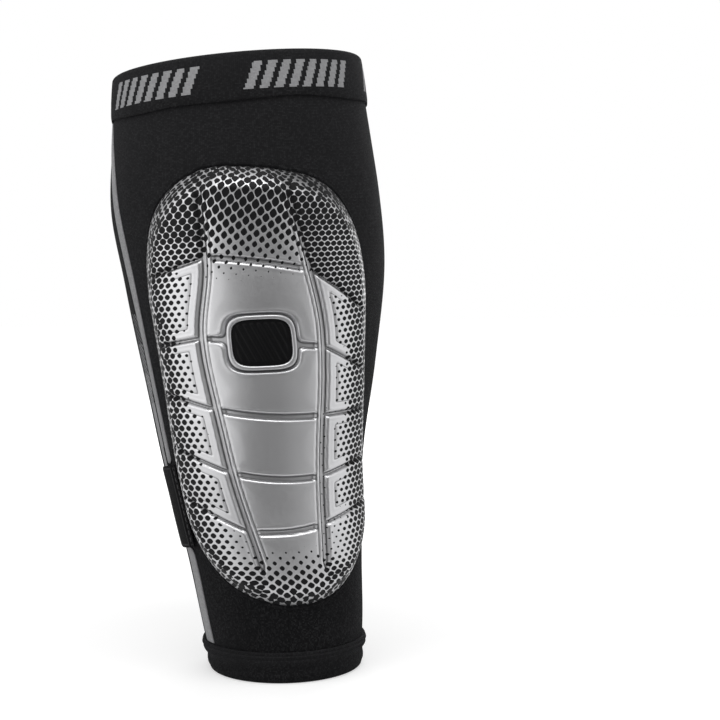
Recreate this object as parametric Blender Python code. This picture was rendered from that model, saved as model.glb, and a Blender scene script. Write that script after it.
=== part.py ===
"""Shin guard: a knitted calf sleeve with a moulded foam pad set in a window over the shin.

Metres, +Z up the leg. The pad faces -Y, and the guard stands on its bottom hem above the origin.
"""
import math
from typing import NamedTuple

import bmesh
import bpy
from mathutils import Matrix, Vector


class Station(NamedTuple):
    """One cross section of the leg that the sleeve is stretched over."""
    height: float
    width: float
    depth: float
    shift: float


class Groove(NamedTuple):
    """One moulded line across the pad: its middle, and how it runs out over each wing."""
    height: float
    slant: float
    bow: float
    outer_slope: float
    inner_slope: float


# Leg form, from the hem up to the rim
HEM_EDGE = Station(height=0.0, width=0.0660, depth=0.0700, shift=0.0084)
HEM_TOP = Station(height=0.016, width=0.0716, depth=0.0735, shift=0.0076)
ANKLE = Station(height=0.050, width=0.0788, depth=0.0800, shift=0.0046)
SHANK = Station(height=0.092, width=0.0904, depth=0.0915, shift=0.0005)
CALF_FOOT = Station(height=0.135, width=0.1060, depth=0.1055, shift=0.0)
CALF_LOW = Station(height=0.175, width=0.1192, depth=0.1155, shift=-0.0009)
CALF = Station(height=0.210, width=0.1232, depth=0.1190, shift=-0.0043)
KNEE_SIDE = Station(height=0.250, width=0.1148, depth=0.1128, shift=-0.0064)
RIM = Station(height=0.270, width=0.1104, depth=0.1076, shift=-0.0074)
STATIONS = (HEM_EDGE, HEM_TOP, ANKLE, SHANK, CALF_FOOT, CALF_LOW, CALF, KNEE_SIDE, RIM)
SHIN_BOW = 0.003
RIM_SLANT = 0.085

# Knit sleeve and its two bands
KNIT = 0.0012
FIT = 0.00035
SLEEVE_ROWS = 15
ROUND_STEPS = 40
CUFF_HEIGHT = 0.0205
CUFF_LAYER = 0.0009
CUFF_OVERLAP = 0.0065
HEM_HEIGHT = 0.0115
HEM_LAYER = 0.0008
HEM_OVERLAP = 0.0055
FOLD_LAYER = 0.0012
FOLD_CHAMFER = 0.0005
FOLD_STEPS = 2
ROLL_RADIUS = 0.0009
ROLL_SIDES = 6

# Contrast stripe down the outer side
STRIPE_WIDTH = 0.0070
STRIPE_THICKNESS = 0.0004
STRIPE_ANGLE = math.radians(-70)
STRIPE_TOP_TURN = math.radians(-12)
STRIPE_TURN_HEIGHT = 0.060

# Flag label sewn over the stripe
LABEL_ANGLE = math.radians(-62.5)
LABEL_BOTTOM = 0.057
LABEL_LENGTH = 0.037
LABEL_FLAP = 0.0105
LABEL_TAB = 0.0026
LABEL_THICKNESS = 0.0005
LABEL_CORNER = 0.0022
LABEL_FOLD = 0.00075
LABEL_CREASE = 0.0002
THREAD_RADIUS = 0.0003
THREAD_SIDES = 8

# Pad outline, set in the window of the sleeve
PAD_TOP = 0.222
PAD_SHOULDER = 0.165
PAD_TOE = 0.078
PAD_BOTTOM = 0.034
PAD_SHOULDER_WIDTH = 0.104
PAD_TOE_WIDTH = 0.092
PAD_LEAN = 0.062
PAD_SHIFT = -0.0006
PAD_SIDE_SPAN = math.radians(20)
PAD_STEPS = 40
PAD_RINGS = 16
WINDOW_GAP = 0.0005

# Pad layers, outwards from the face of the sleeve
LINING = 0.0011
LINING_MARGIN = 0.006
CROWN_HEIGHT = 0.0052
SHOULDER_HEIGHT = 0.0008
DOME_POWER = 6
WELT_WIDTH = 0.0020
WELT_THICKNESS = 0.0007

# Moulded panels on the pad
PANEL_RISE = 0.0018
PANEL_CROWN = 0.0004
PANEL_EDGE_SHARE = 0.6
PANEL_MARGIN = 0.0060
PANEL_GAP = 0.0004
PANEL_COLUMNS = 8
PANEL_SPREAD_POWER = 0.8
PANEL_ROWS = 6
PANEL_BLUNT = 0.007
CHANNEL_WIDTH = 0.0034
GROOVE_WIDTH = 0.0034
COLUMN_SHIFT = 0.0030
COLUMN_TOE = (0.052, 0.0244)
COLUMN_WAIST = (0.105, 0.0378)
COLUMN_SHOULDER = (0.155, 0.0460)
COLUMN_CROWN = (0.216, 0.0370)
COLUMN = (COLUMN_TOE, COLUMN_WAIST, COLUMN_SHOULDER, COLUMN_CROWN)
GROOVES = (
    Groove(height=0.0684, slant=-0.03, bow=-0.0013, outer_slope=0.55, inner_slope=0.31),
    Groove(height=0.0910, slant=-0.11, bow=-0.0017, outer_slope=0.44, inner_slope=0.28),
    Groove(height=0.1174, slant=-0.115, bow=-0.0015, outer_slope=0.31, inner_slope=0.0),
    Groove(height=0.1470, slant=-0.13, bow=0.0, outer_slope=-0.06, inner_slope=-0.45),
    Groove(height=0.1800, slant=-0.19, bow=0.0010, outer_slope=-0.09, inner_slope=-0.75),
)

# Badge island in the middle of the pad
BADGE_WIDTH = 0.0270
BADGE_HEIGHT = 0.0238
BADGE_MIDDLE = 0.1475
BADGE_SHIFT = -0.0008
BADGE_RISE = 0.0026
BADGE_RIM = 0.0030
BADGE_CHAMFER = 0.0005
BADGE_GAP = 0.0022
BADGE_CORNER_POWER = 0.5
BADGE_STEPS = 32
INLAY_SINK = 0.0008

BLANK_RADIUS = 1.0
CUTTER_REACH = 0.008


def remove_everything():
    for thing in list(bpy.data.objects):
        bpy.data.objects.remove(thing, do_unlink=True)


def collection(name):
    group = bpy.data.collections.new(name)
    bpy.context.scene.collection.children.link(group)
    return group


def finish(name, colour, roughness, metallic=0.0):
    made = bpy.data.materials.new(name)
    made.use_nodes = True
    shader = made.node_tree.nodes["Principled BSDF"]
    shader.inputs["Base Color"].default_value = (*colour, 1.0)
    shader.inputs["Roughness"].default_value = roughness
    shader.inputs["Metallic"].default_value = metallic
    return made


def blend(low, high, share):
    return low + (high - low) * share


def through(points, height):
    """Smooth value at a height, through (height, value) points that climb."""
    last = len(points) - 1
    first = 0
    while first < last - 1 and height > points[first + 1][0]:
        first += 1

    def steepness(index):
        below = points[max(index - 1, 0)]
        above = points[min(index + 1, last)]
        return (above[1] - below[1]) / (above[0] - below[0])

    (low, low_value), (high, high_value) = points[first], points[first + 1]
    span = high - low
    t = (height - low) / span
    rise = 3 * t ** 2 - 2 * t ** 3
    return (
        low_value * (1 - rise)
        + high_value * rise
        + span * steepness(first) * (t ** 3 - 2 * t ** 2 + t)
        + span * steepness(first + 1) * (t ** 3 - t ** 2)
    )


# Leg form: where a point of the guard lies on the leg

def leg_size(measure, z):
    return through([(station.height, getattr(station, measure)) for station in STATIONS], z)


def girth_radius(z):
    return (leg_size("width", z) + leg_size("depth", z)) / 4


def leg_normal(angle, z):
    normal = Vector((math.sin(angle) / leg_size("width", z), -math.cos(angle) / leg_size("depth", z), 0))
    return normal.normalized()


def on_leg(angle, z, out):
    """Point at an angle from the front, at a height, and so far out from the face of the sleeve."""
    half_width = leg_size("width", z) / 2
    half_depth = leg_size("depth", z) / 2
    normal = leg_normal(angle, z)
    middle = RIM.height / 2
    front_line = SHIN_BOW * ((z - middle) / middle) ** 2
    side = half_width * math.sin(angle) + out * normal.x
    back = half_depth * (1 - math.cos(angle)) + out * normal.y
    tilt = RIM_SLANT * (z / RIM.height) ** 2
    return Vector((leg_size("shift", z) + side, front_line + back, z + tilt * side))


def on_pad(across, z, out):
    """Point of the pad: across is measured round the leg from the pad's own leaning middle line."""
    pad_middle = PAD_SHIFT - PAD_LEAN * (z - (PAD_TOP + PAD_BOTTOM) / 2)
    return on_leg((pad_middle + across) / girth_radius(z), z, out)


# Pad outline and dome

def pad_half_width(z, growth=0.0):
    """Half the pad's width at a height, with the outline grown or shrunk all round."""
    if z >= PAD_SHOULDER:
        climb = (z - PAD_SHOULDER) / (PAD_TOP - PAD_SHOULDER + growth)
        return (PAD_SHOULDER_WIDTH / 2 + growth) * math.sqrt(max(0.0, 1 - climb ** 2))
    if z <= PAD_TOE:
        drop = (PAD_TOE - z) / (PAD_TOE - PAD_BOTTOM + growth)
        return (PAD_TOE_WIDTH / 2 + growth) * math.sqrt(max(0.0, 1 - drop ** 2))
    share = (z - PAD_TOE) / (PAD_SHOULDER - PAD_TOE)
    return blend(PAD_TOE_WIDTH, PAD_SHOULDER_WIDTH, share) / 2 + growth


def pad_end(across, growth, top):
    """Height of the outline's round top or bottom end above a point across the pad."""
    if top:
        half, rise, start, sign = PAD_SHOULDER_WIDTH / 2, PAD_TOP - PAD_SHOULDER, PAD_SHOULDER, 1
    else:
        half, rise, start, sign = PAD_TOE_WIDTH / 2, PAD_TOE - PAD_BOTTOM, PAD_TOE, -1
    share = min(1.0, abs(across) / (half + growth))
    return start + sign * (rise + growth) * math.sqrt(1 - share ** 2)


def pad_outline(turn, growth):
    """Outline point at a turn round the pad: two round ends and two straight, tapered sides."""
    side = 1 if math.cos(turn) >= 0 else -1
    climb = math.asin(max(-1.0, min(1.0, math.sin(turn))))
    if abs(climb) <= PAD_SIDE_SPAN:
        z = blend(PAD_TOE, PAD_SHOULDER, (climb / PAD_SIDE_SPAN + 1) / 2)
        return side * pad_half_width(z, growth), z
    arc = (abs(climb) - PAD_SIDE_SPAN) / (math.pi / 2 - PAD_SIDE_SPAN) * math.pi / 2
    if climb > 0:
        z = PAD_SHOULDER + (PAD_TOP - PAD_SHOULDER + growth) * math.sin(arc)
        return side * (PAD_SHOULDER_WIDTH / 2 + growth) * math.cos(arc), z
    z = PAD_TOE - (PAD_TOE - PAD_BOTTOM + growth) * math.sin(arc)
    return side * (PAD_TOE_WIDTH / 2 + growth) * math.cos(arc), z


def dome(across, z):
    """Height of the foam's crown above the sleeve: steep at the outline, almost flat in the middle."""
    if z > PAD_SHOULDER:
        share = math.hypot(2 * across / PAD_SHOULDER_WIDTH, (z - PAD_SHOULDER) / (PAD_TOP - PAD_SHOULDER))
    elif z < PAD_TOE:
        share = math.hypot(2 * across / PAD_TOE_WIDTH, (PAD_TOE - z) / (PAD_TOE - PAD_BOTTOM))
    else:
        share = abs(across) / pad_half_width(z)
    fullness = math.sqrt(1 - min(1.0, share) ** DOME_POWER)
    return blend(SHOULDER_HEIGHT, CROWN_HEIGHT, fullness)


def badge_outline(turn, growth):
    cosine, sine = math.cos(turn), math.sin(turn)
    across = math.copysign(abs(cosine) ** BADGE_CORNER_POWER, cosine) * (BADGE_WIDTH / 2 + growth)
    up = math.copysign(abs(sine) ** BADGE_CORNER_POWER, sine) * (BADGE_HEIGHT / 2 + growth)
    return BADGE_SHIFT + across, BADGE_MIDDLE + up


# Blanks, made flat or turned, and then pressed on the leg

def press(bm, place):
    """Move each point of a blank to its place on the leg, and turn its faces out."""
    bmesh.ops.recalc_face_normals(bm, faces=bm.faces)
    for vertex in bm.verts:
        vertex.co = place(vertex.co)
    if bm.calc_volume(signed=True) < 0:
        bmesh.ops.reverse_faces(bm, faces=bm.faces)
    return bm


def spun(profile, steps):
    """Closed profile of (out, z) points, spun into a ring of BLANK_RADIUS."""
    bm = bmesh.new()
    corners = [bm.verts.new((BLANK_RADIUS + out, 0, z)) for out, z in profile]
    sides = [bm.edges.new((corners[i - 1], corners[i])) for i in range(len(corners))]
    bmesh.ops.spin(
        bm, geom=corners + sides, axis=(0, 0, 1), cent=(0, 0, 0),
        angle=2 * math.pi, steps=steps, use_merge=True,
    )
    return bm


def band(profile):
    """Ring round the leg, from a closed profile of (out, z) points."""
    def place(co):
        return on_leg(math.atan2(co.x, -co.y), co.z, math.hypot(co.x, co.y) - BLANK_RADIUS)
    return press(spun(profile, ROUND_STEPS), place)


def edging(outline, profile, foot, steps):
    """Ring along an outline of the pad, from a closed profile of (growth, rise) points."""
    def place(co):
        across, z = outline(math.atan2(co.y, co.x), math.hypot(co.x, co.y) - BLANK_RADIUS)
        return on_pad(across, z, foot(across, z) + co.z)
    return press(spun(profile, steps), place)


def layer(outline, growth, middle, low, high, steps, rings):
    """Plate inside an outline of the pad, between two heights: a ball, flattened on the leg."""
    bm = bmesh.new()
    bmesh.ops.create_uvsphere(bm, u_segments=steps, v_segments=rings, radius=1)
    wall = math.cos(math.pi / rings)
    across_middle, z_middle = middle

    def place(co):
        share = min(1.0, math.hypot(co.x, co.y) / wall)
        across, z = outline(math.atan2(co.y, co.x), growth)
        across = blend(across_middle, across, share)
        z = blend(z_middle, z, share)
        upper = 0.5 if abs(co.z) < wall / rings else float(co.z > 0)
        return on_pad(across, z, blend(low(across, z), high(across, z), upper))
    return press(bm, place)


def slab(columns, rows, place):
    """Flat sheet of cells with two faces, each point placed from (s, t, upper face or not)."""
    bm = bmesh.new()
    bmesh.ops.create_grid(bm, x_segments=columns, y_segments=rows, size=1)
    bmesh.ops.solidify(bm, geom=bm.faces[:], thickness=1)
    return press(bm, lambda co: place(co.x, co.y, abs(co.z) > 0.5))


def constant(value):
    return lambda across, z: value


class Guard:
    """The guard's parts and cutters, hung on one empty that stands it on the origin."""

    def __init__(self):
        self.parts = collection("shin_guard")
        self.cutters = collection("shin_guard_cutters")
        self.root = bpy.data.objects.new("guard_frame", None)
        self.parts.objects.link(self.root)
        self.knit = finish("black_knit", (0.018, 0.018, 0.020), 0.85)
        self.elastic = finish("elastic_band", (0.05, 0.05, 0.055), 0.7)
        self.stripe = finish("grey_stripe", (0.24, 0.24, 0.25), 0.7)
        self.label = finish("woven_label", (0.012, 0.012, 0.013), 0.6)
        self.thread = finish("thread", (0.03, 0.03, 0.032), 0.7)
        self.lining = finish("pad_lining", (0.03, 0.03, 0.033), 0.9)
        self.foam = finish("foam_skin", (0.10, 0.10, 0.105), 0.5)
        self.silver = finish("silver_film", (0.42, 0.42, 0.43), 0.35, 0.6)
        self.inlay = finish("black_inlay", (0.01, 0.01, 0.01), 0.3)

    def add(self, name, bm, material):
        mesh = bpy.data.meshes.new(name)
        bm.to_mesh(mesh)
        bm.free()
        mesh.shade_smooth()
        mesh.set_sharp_from_angle(angle=math.radians(40))
        mesh.materials.append(material)
        made = bpy.data.objects.new(name, mesh)
        self.parts.objects.link(made)
        made.parent = self.root
        return made

    def cutter(self, name, bm):
        mesh = bpy.data.meshes.new(name)
        bm.to_mesh(mesh)
        bm.free()
        made = bpy.data.objects.new(name, mesh)
        self.cutters.objects.link(made)
        made.parent = self.root
        made.hide_render = True
        made.display_type = "WIRE"
        return made

    def cut(self, made, cutter):
        cutting = made.modifiers.new("cut", "BOOLEAN")
        cutting.operation = "DIFFERENCE"
        cutting.object = cutter

    def stand_on_origin(self):
        """Set the empty so that the box round all parts stands on the origin, in the middle."""
        bpy.context.view_layer.update()
        graph = bpy.context.evaluated_depsgraph_get()
        corners = []
        for made in self.parts.objects:
            if made.type == "MESH":
                seen = made.evaluated_get(graph)
                corners += [seen.matrix_world @ Vector(corner) for corner in seen.bound_box]
        low = Vector([min(corner[i] for corner in corners) for i in range(3)])
        high = Vector([max(corner[i] for corner in corners) for i in range(3)])
        self.root.location = (-(low.x + high.x) / 2, -(low.y + high.y) / 2, -low.z)
        bpy.context.view_layer.update()


# Sleeve, cuff and hem

def rows_between(low, high, rows):
    return [blend(low, high, row / rows) for row in range(rows + 1)]


def make_sleeve(guard):
    cuff_mouth = RIM.height - CUFF_HEIGHT
    heights = [HEM_HEIGHT - HEM_OVERLAP, HEM_HEIGHT]
    heights += rows_between(HEM_TOP.height, cuff_mouth, SLEEVE_ROWS)
    heights.append(cuff_mouth + CUFF_OVERLAP)
    sleeve = guard.add("knit_sleeve", band(strip_profile(heights)), guard.knit)
    middle = (0.0, (PAD_TOP + PAD_BOTTOM) / 2)
    opening = layer(
        pad_outline, 0.0, middle, constant(-CUTTER_REACH), constant(CUTTER_REACH), PAD_STEPS, 10,
    )
    guard.cut(sleeve, guard.cutter("window_cutter", opening))


def fold(low, high, wall, closed_at_top):
    """Profile of a band folded over the sleeve's edge, shut at the end away from the sleeve."""
    inner_face = -KNIT - FIT
    outer_face = FIT
    shut, mouth, inward = (high, low, -1) if closed_at_top else (low, high, 1)
    outside = rows_between(mouth, shut + inward * FOLD_CHAMFER, FOLD_STEPS)
    inside = rows_between(mouth, shut + inward * FOLD_LAYER, FOLD_STEPS)
    return [
        *((outer_face + wall, z) for z in outside),
        (outer_face + wall - FOLD_CHAMFER, shut),
        (inner_face - wall + FOLD_CHAMFER, shut),
        *((inner_face - wall, z) for z in reversed(outside)),
        *((inner_face, z) for z in inside),
        *((outer_face, z) for z in reversed(inside)),
    ]


def strip_profile(heights):
    return [(0.0, z) for z in heights] + [(-KNIT, z) for z in reversed(heights)]


def make_cuff(guard):
    low = RIM.height - CUFF_HEIGHT
    guard.add("top_cuff", band(fold(low, RIM.height, CUFF_LAYER, True)), guard.knit)
    heights = rows_between(low + CUFF_OVERLAP + FIT, RIM.height - FOLD_LAYER - FIT, FOLD_STEPS)
    guard.add("cuff_elastic", band(strip_profile(heights)), guard.elastic)


def make_hem(guard):
    guard.add("bottom_hem", band(fold(0.0, HEM_HEIGHT, HEM_LAYER, False)), guard.knit)
    heights = rows_between(FOLD_LAYER + FIT, HEM_HEIGHT - HEM_OVERLAP - FIT, FOLD_STEPS)
    guard.add("hem_elastic", band(strip_profile(heights)), guard.elastic)
    roll = []
    for side in range(ROLL_SIDES):
        turn = 2 * math.pi * (side + 0.5) / ROLL_SIDES
        out = FIT + ROLL_RADIUS * (1 + math.cos(turn))
        roll.append((out, HEM_HEIGHT + FIT + ROLL_RADIUS * (1 + math.sin(turn))))
    guard.add("hem_roll", band(roll), guard.knit)


# Stripe and label

def stripe_angle(z):
    turn_start = RIM.height - CUFF_HEIGHT - STRIPE_TURN_HEIGHT
    climb = max(0.0, (z - turn_start) / STRIPE_TURN_HEIGHT)
    return STRIPE_ANGLE + STRIPE_TOP_TURN * climb ** 2


def make_stripe(guard, name, low, high, rows, round_end):
    def place(s, t, upper):
        trim = STRIPE_WIDTH / 2 * (1 - math.sqrt(1 - s ** 2))
        start, end = (low + trim, high) if round_end == "low" else (low, high - trim)
        z = blend(start, end, (t + 1) / 2)
        angle = stripe_angle(z) + s * STRIPE_WIDTH / 2 / girth_radius(z)
        return on_leg(angle, z, FIT + STRIPE_THICKNESS * upper)
    guard.add(name, slab(4, rows, place), guard.stripe)


def make_stripes(guard):
    label_top = LABEL_BOTTOM + LABEL_LENGTH
    make_stripe(guard, "stripe_upper", label_top, RIM.height - CUFF_HEIGHT - FIT, 16, "low")
    roll_top = HEM_HEIGHT + 2 * FIT + 2 * ROLL_RADIUS
    make_stripe(guard, "stripe_lower", roll_top, LABEL_BOTTOM, 6, "high")


def label_hinge():
    """Matrix of the fold line: X runs back over the flap, Y down the line, Z away from the leg."""
    seat = 2 * FIT + WELT_THICKNESS + FIT + LABEL_THICKNESS / 2
    low = on_leg(LABEL_ANGLE, LABEL_BOTTOM, seat)
    high = on_leg(LABEL_ANGLE, LABEL_BOTTOM + LABEL_LENGTH, seat)
    up = (high - low).normalized()
    normal = leg_normal(LABEL_ANGLE, LABEL_BOTTOM + LABEL_LENGTH / 2)
    back = normal.cross(up).normalized()
    outward = up.cross(back)
    frame = Matrix((back, -up, outward)).transposed().to_4x4()
    frame.translation = (low + high) / 2
    return frame


def plate(start, end, length, thickness, corner_edge=None):
    """Flat plate from start to end along X, with round corners at one end if asked."""
    bm = bmesh.new()
    bmesh.ops.create_cube(bm, size=1)
    bmesh.ops.scale(bm, vec=(end - start, length, thickness), verts=bm.verts)
    bmesh.ops.translate(bm, vec=((start + end) / 2, 0, 0), verts=bm.verts)
    if corner_edge is not None:
        corners = [
            edge for edge in bm.edges
            if all(abs(v.co.x - corner_edge) < thickness / 10 for v in edge.verts)
            and abs(edge.verts[0].co.y - edge.verts[1].co.y) < thickness / 10
        ]
        bmesh.ops.bevel(
            bm, geom=corners, offset=LABEL_CORNER, segments=4, profile=0.5,
            affect="EDGES", material=-1,
        )
    return bm


def make_label(guard):
    hinge = label_hinge()
    flap = plate(LABEL_CREASE, LABEL_FLAP, LABEL_LENGTH, LABEL_THICKNESS, LABEL_FLAP)
    tab = plate(-LABEL_TAB - LABEL_FOLD, -LABEL_FOLD, LABEL_LENGTH, LABEL_THICKNESS)
    thread = bmesh.new()
    bmesh.ops.create_cone(
        thread, cap_ends=True, segments=THREAD_SIDES, radius1=THREAD_RADIUS, radius2=THREAD_RADIUS,
        depth=LABEL_LENGTH - 2 * LABEL_CORNER,
    )
    along_fold = Matrix.Rotation(math.pi / 2, 4, "X")
    seat = Vector((-LABEL_FOLD - LABEL_TAB / 2, 0, LABEL_THICKNESS / 2 + FIT + THREAD_RADIUS))
    bmesh.ops.transform(thread, matrix=Matrix.Translation(seat) @ along_fold, verts=thread.verts)
    for name, bm, material in (
        ("label_flap", flap, guard.label),
        ("label_tab", tab, guard.label),
        ("label_thread", thread, guard.thread),
    ):
        guard.add(name, bm, material).matrix_local = hinge
    return hinge


# Pad

def make_pad_layers(guard):
    middle = (0.0, (PAD_TOP + PAD_BOTTOM) / 2)
    back = -KNIT - FIT - FIT
    lining = layer(
        pad_outline, LINING_MARGIN, middle, constant(back - LINING), constant(back), PAD_STEPS, PAD_RINGS,
    )
    guard.add("pad_lining", lining, guard.lining)
    core = layer(pad_outline, -WINDOW_GAP, middle, constant(back + FIT), dome, PAD_STEPS, PAD_RINGS)
    guard.add("foam_core", core, guard.foam)
    profile = [
        (0.0, 2 * FIT),
        (WELT_WIDTH, 2 * FIT),
        (WELT_WIDTH, 2 * FIT + WELT_THICKNESS / 2),
        (WELT_WIDTH / 2, 2 * FIT + WELT_THICKNESS),
        (0.0, 2 * FIT + WELT_THICKNESS),
    ]
    guard.add("window_welt", edging(pad_outline, profile, constant(0.0), PAD_STEPS), guard.knit)


def column_edge(side, z):
    return COLUMN_SHIFT + side * through(COLUMN, z) / 2


def groove_line(groove, across):
    """Height of a groove at a point across the pad."""
    offset = across - COLUMN_SHIFT
    half = through(COLUMN, groove.height) / 2
    if abs(offset) <= half:
        return groove.height + groove.slant * offset + groove.bow * (1 - (offset / half) ** 2)
    side = math.copysign(1.0, offset)
    slope = groove.outer_slope if side < 0 else groove.inner_slope
    return groove.height + groove.slant * half * side + slope * (abs(offset) - half)


def row_floor(row):
    if row == 0:
        return lambda across: pad_end(across, -PANEL_MARGIN, False)
    return lambda across: groove_line(GROOVES[row - 1], across) + GROOVE_WIDTH / 2


def row_ceiling(row):
    if row == len(GROOVES):
        return lambda across: pad_end(across, -PANEL_MARGIN, True)
    return lambda across: groove_line(GROOVES[row], across) - GROOVE_WIDTH / 2


def blunt_end(row, side, start):
    """How far out a wing's end panel runs before it is too thin."""
    floor, ceiling = row_floor(row), row_ceiling(row)
    near = start
    far = side * (max(PAD_SHOULDER_WIDTH, PAD_TOE_WIDTH) / 2 - PANEL_MARGIN)
    for _ in range(24):
        guess = (near + far) / 2
        if ceiling(guess) - floor(guess) > PANEL_BLUNT:
            near = guess
        else:
            far = guess
    return near


def panel(start, end, floor, ceiling):
    """Crowned panel between two upright lines and two cross lines, on the foam's dome."""
    def spread(share):
        return math.copysign(abs(share) ** PANEL_SPREAD_POWER, share)

    def place(s, t, upper):
        s, t = spread(s), spread(t)
        z = (floor(start(PAD_SHOULDER)) + ceiling(start(PAD_SHOULDER))) / 2
        for _ in range(6):
            across = blend(start(z), end(z), (s + 1) / 2)
            z = blend(floor(across), ceiling(across), (t + 1) / 2)
        edge = max(abs(s), abs(t))
        rise = PANEL_RISE * (1 - PANEL_EDGE_SHARE * edge ** 8)
        rise += PANEL_CROWN * (1 - s ** 2) * (1 - t ** 2)
        return on_pad(across, z, dome(across, z) + PANEL_GAP + rise * upper)
    return slab(PANEL_COLUMNS, PANEL_ROWS, place)


def make_centre_panels(guard, badge_cutter):
    for row in range(len(GROOVES) + 1):
        bm = panel(
            lambda z: column_edge(-1, z) + CHANNEL_WIDTH / 2,
            lambda z: column_edge(1, z) - CHANNEL_WIDTH / 2,
            row_floor(row), row_ceiling(row),
        )
        made = guard.add(f"centre_panel_{row + 1}", bm, guard.silver)
        if row in (3, 4):
            guard.cut(made, badge_cutter)


def make_wing(guard, name, side):
    for row in range(len(GROOVES) + 1):
        def start(z):
            return column_edge(side, z) + side * CHANNEL_WIDTH / 2

        if row in (0, len(GROOVES)):
            tip = blunt_end(row, side, start(GROOVES[max(row - 1, 0)].height))

            def end(z, tip=tip):
                return tip
        else:
            def end(z):
                return side * pad_half_width(z, -PANEL_MARGIN)
        bm = panel(start, end, row_floor(row), row_ceiling(row))
        guard.add(f"{name}_panel_{row + 1}", bm, guard.silver)


def make_badge(guard):
    foot = PANEL_GAP
    top = PANEL_GAP + BADGE_RISE
    profile = [
        (-BADGE_RIM, foot),
        (0.0, foot),
        (0.0, top - BADGE_CHAMFER),
        (-BADGE_CHAMFER, top),
        (-BADGE_RIM + BADGE_CHAMFER, top),
        (-BADGE_RIM, top - BADGE_CHAMFER),
    ]
    guard.add("badge_frame", edging(badge_outline, profile, dome, BADGE_STEPS), guard.silver)
    middle = (BADGE_SHIFT, BADGE_MIDDLE)
    inlay = layer(
        badge_outline, -BADGE_RIM - FIT, middle,
        lambda across, z: dome(across, z) + foot,
        lambda across, z: dome(across, z) + top - INLAY_SINK, BADGE_STEPS, 8,
    )
    guard.add("badge_inlay", inlay, guard.inlay)
    opening = layer(
        badge_outline, BADGE_GAP, middle, constant(-CUTTER_REACH), constant(2 * CUTTER_REACH),
        BADGE_STEPS, 8,
    )
    return guard.cutter("badge_cutter", opening)


def main():
    remove_everything()
    guard = Guard()
    make_sleeve(guard)
    make_cuff(guard)
    make_hem(guard)
    make_stripes(guard)
    hinge = make_label(guard)
    make_pad_layers(guard)
    make_centre_panels(guard, make_badge(guard))
    make_wing(guard, "outer", -1)
    make_wing(guard, "inner", 1)
    guard.stand_on_origin()
    world_hinge = guard.root.matrix_world @ hinge
    print("label fold line, middle:", tuple(round(value, 5) for value in world_hinge.translation))
    print("label fold line, upward:", tuple(round(-value, 5) for value in world_hinge.col[1][:3]))


main()
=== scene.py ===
"""Shin guard: dresses the packed solids with knit, printed foam, trim, a label and a plain stage.

The pieces are cut flat on a bench as grids of cells, and then pressed on the form of a leg.
"""
import math

import bmesh
import bpy
import numpy as np
from bpy.props import FloatProperty, FloatVectorProperty, IntProperty, PointerProperty
from mathutils import Matrix, Vector


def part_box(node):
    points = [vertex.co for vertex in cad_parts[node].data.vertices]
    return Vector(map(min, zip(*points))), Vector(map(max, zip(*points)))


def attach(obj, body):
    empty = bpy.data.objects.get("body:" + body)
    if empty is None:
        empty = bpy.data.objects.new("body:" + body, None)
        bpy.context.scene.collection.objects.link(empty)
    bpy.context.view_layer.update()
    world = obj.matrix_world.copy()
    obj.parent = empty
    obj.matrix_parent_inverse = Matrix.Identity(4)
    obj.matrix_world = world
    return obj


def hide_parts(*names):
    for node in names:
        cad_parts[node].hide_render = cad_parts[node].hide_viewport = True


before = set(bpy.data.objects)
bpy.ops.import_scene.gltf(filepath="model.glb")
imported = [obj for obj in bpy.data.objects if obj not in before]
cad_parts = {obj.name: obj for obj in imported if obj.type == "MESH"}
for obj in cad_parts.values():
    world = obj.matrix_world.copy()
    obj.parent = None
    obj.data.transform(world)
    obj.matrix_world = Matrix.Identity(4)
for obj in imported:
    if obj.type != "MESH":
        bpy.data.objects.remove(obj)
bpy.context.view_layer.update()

bl_info = {
    "name": "Shin Guard",
    "version": (1, 0, 0),
    "blender": (4, 5, 0),
    "location": "View3D > Sidebar > Shin Guard",
    "description": "Dresses the solids of a shin guard with knit, printed foam and trim",
    "category": "Object",
}

MM = 0.001
SEAM = 1e-6
FIT = 0.35 * MM
ROUND_CELLS = 180
PANEL_ROWS = 6
PANEL_NODES = [f"{side}_panel_{row + 1}" for side in ("centre", "outer", "inner") for row in range(PANEL_ROWS)]

# Shades that the finishes mix with the colours of the settings
# Painted shade in the valleys between the knit's stitches
YARN_GAP_SHADE = (0.006, 0.006, 0.0065)
WORN_MARK = (0.24, 0.24, 0.245)
SHEEN = (0.62, 0.62, 0.66)
WORN_STRIPE = (0.20, 0.20, 0.205)
# Painted shade in the valleys between the stripe's stitches
STRIPE_GAP_SHADE = (0.10, 0.10, 0.105)
CLOUDED_SILVER = (0.40, 0.40, 0.41)
SHADED_RIM = (0.07, 0.07, 0.072)
# Painted shade on the floors of the pad's grooves
GROOVE_FLOOR_SHADE = (0.19, 0.19, 0.195)
# Painted shade in the creases at the foot of the groove walls and along the scored lines
CREASE_SHADE_BLACK = (0.03, 0.03, 0.032)
GRAINY_INK = (0.011, 0.011, 0.012)
FRAME_SHADE = (0.42, 0.42, 0.43)
INLAY_BLACK = (0.0030, 0.0030, 0.0034)
INLAY_SHADE = (0.005, 0.005, 0.0056)
# Painted shade in the valleys of the label's weave
WEAVE_GAP_SHADE = (0.003, 0.003, 0.0033)
WEAVE_BLACK = (0.008, 0.008, 0.0088)
WEAVE_BORDER = (0.06, 0.06, 0.062)
# Painted shade in the grooves of the thread's twist, and the colour of its crests
PAINTED_TWIST_SHADES = (0.020, 0.020, 0.021), (0.055, 0.055, 0.058)
WHITE = (1.0, 1.0, 1.0)
FLOOR_WHITE = (0.62, 0.62, 0.62)
CARD_SHADES = (0.235, 0.235, 0.235), (0.54, 0.54, 0.54)


def length(name, description, default):
    return FloatProperty(name=name, description=description, default=default, unit="LENGTH", precision=5)


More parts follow.
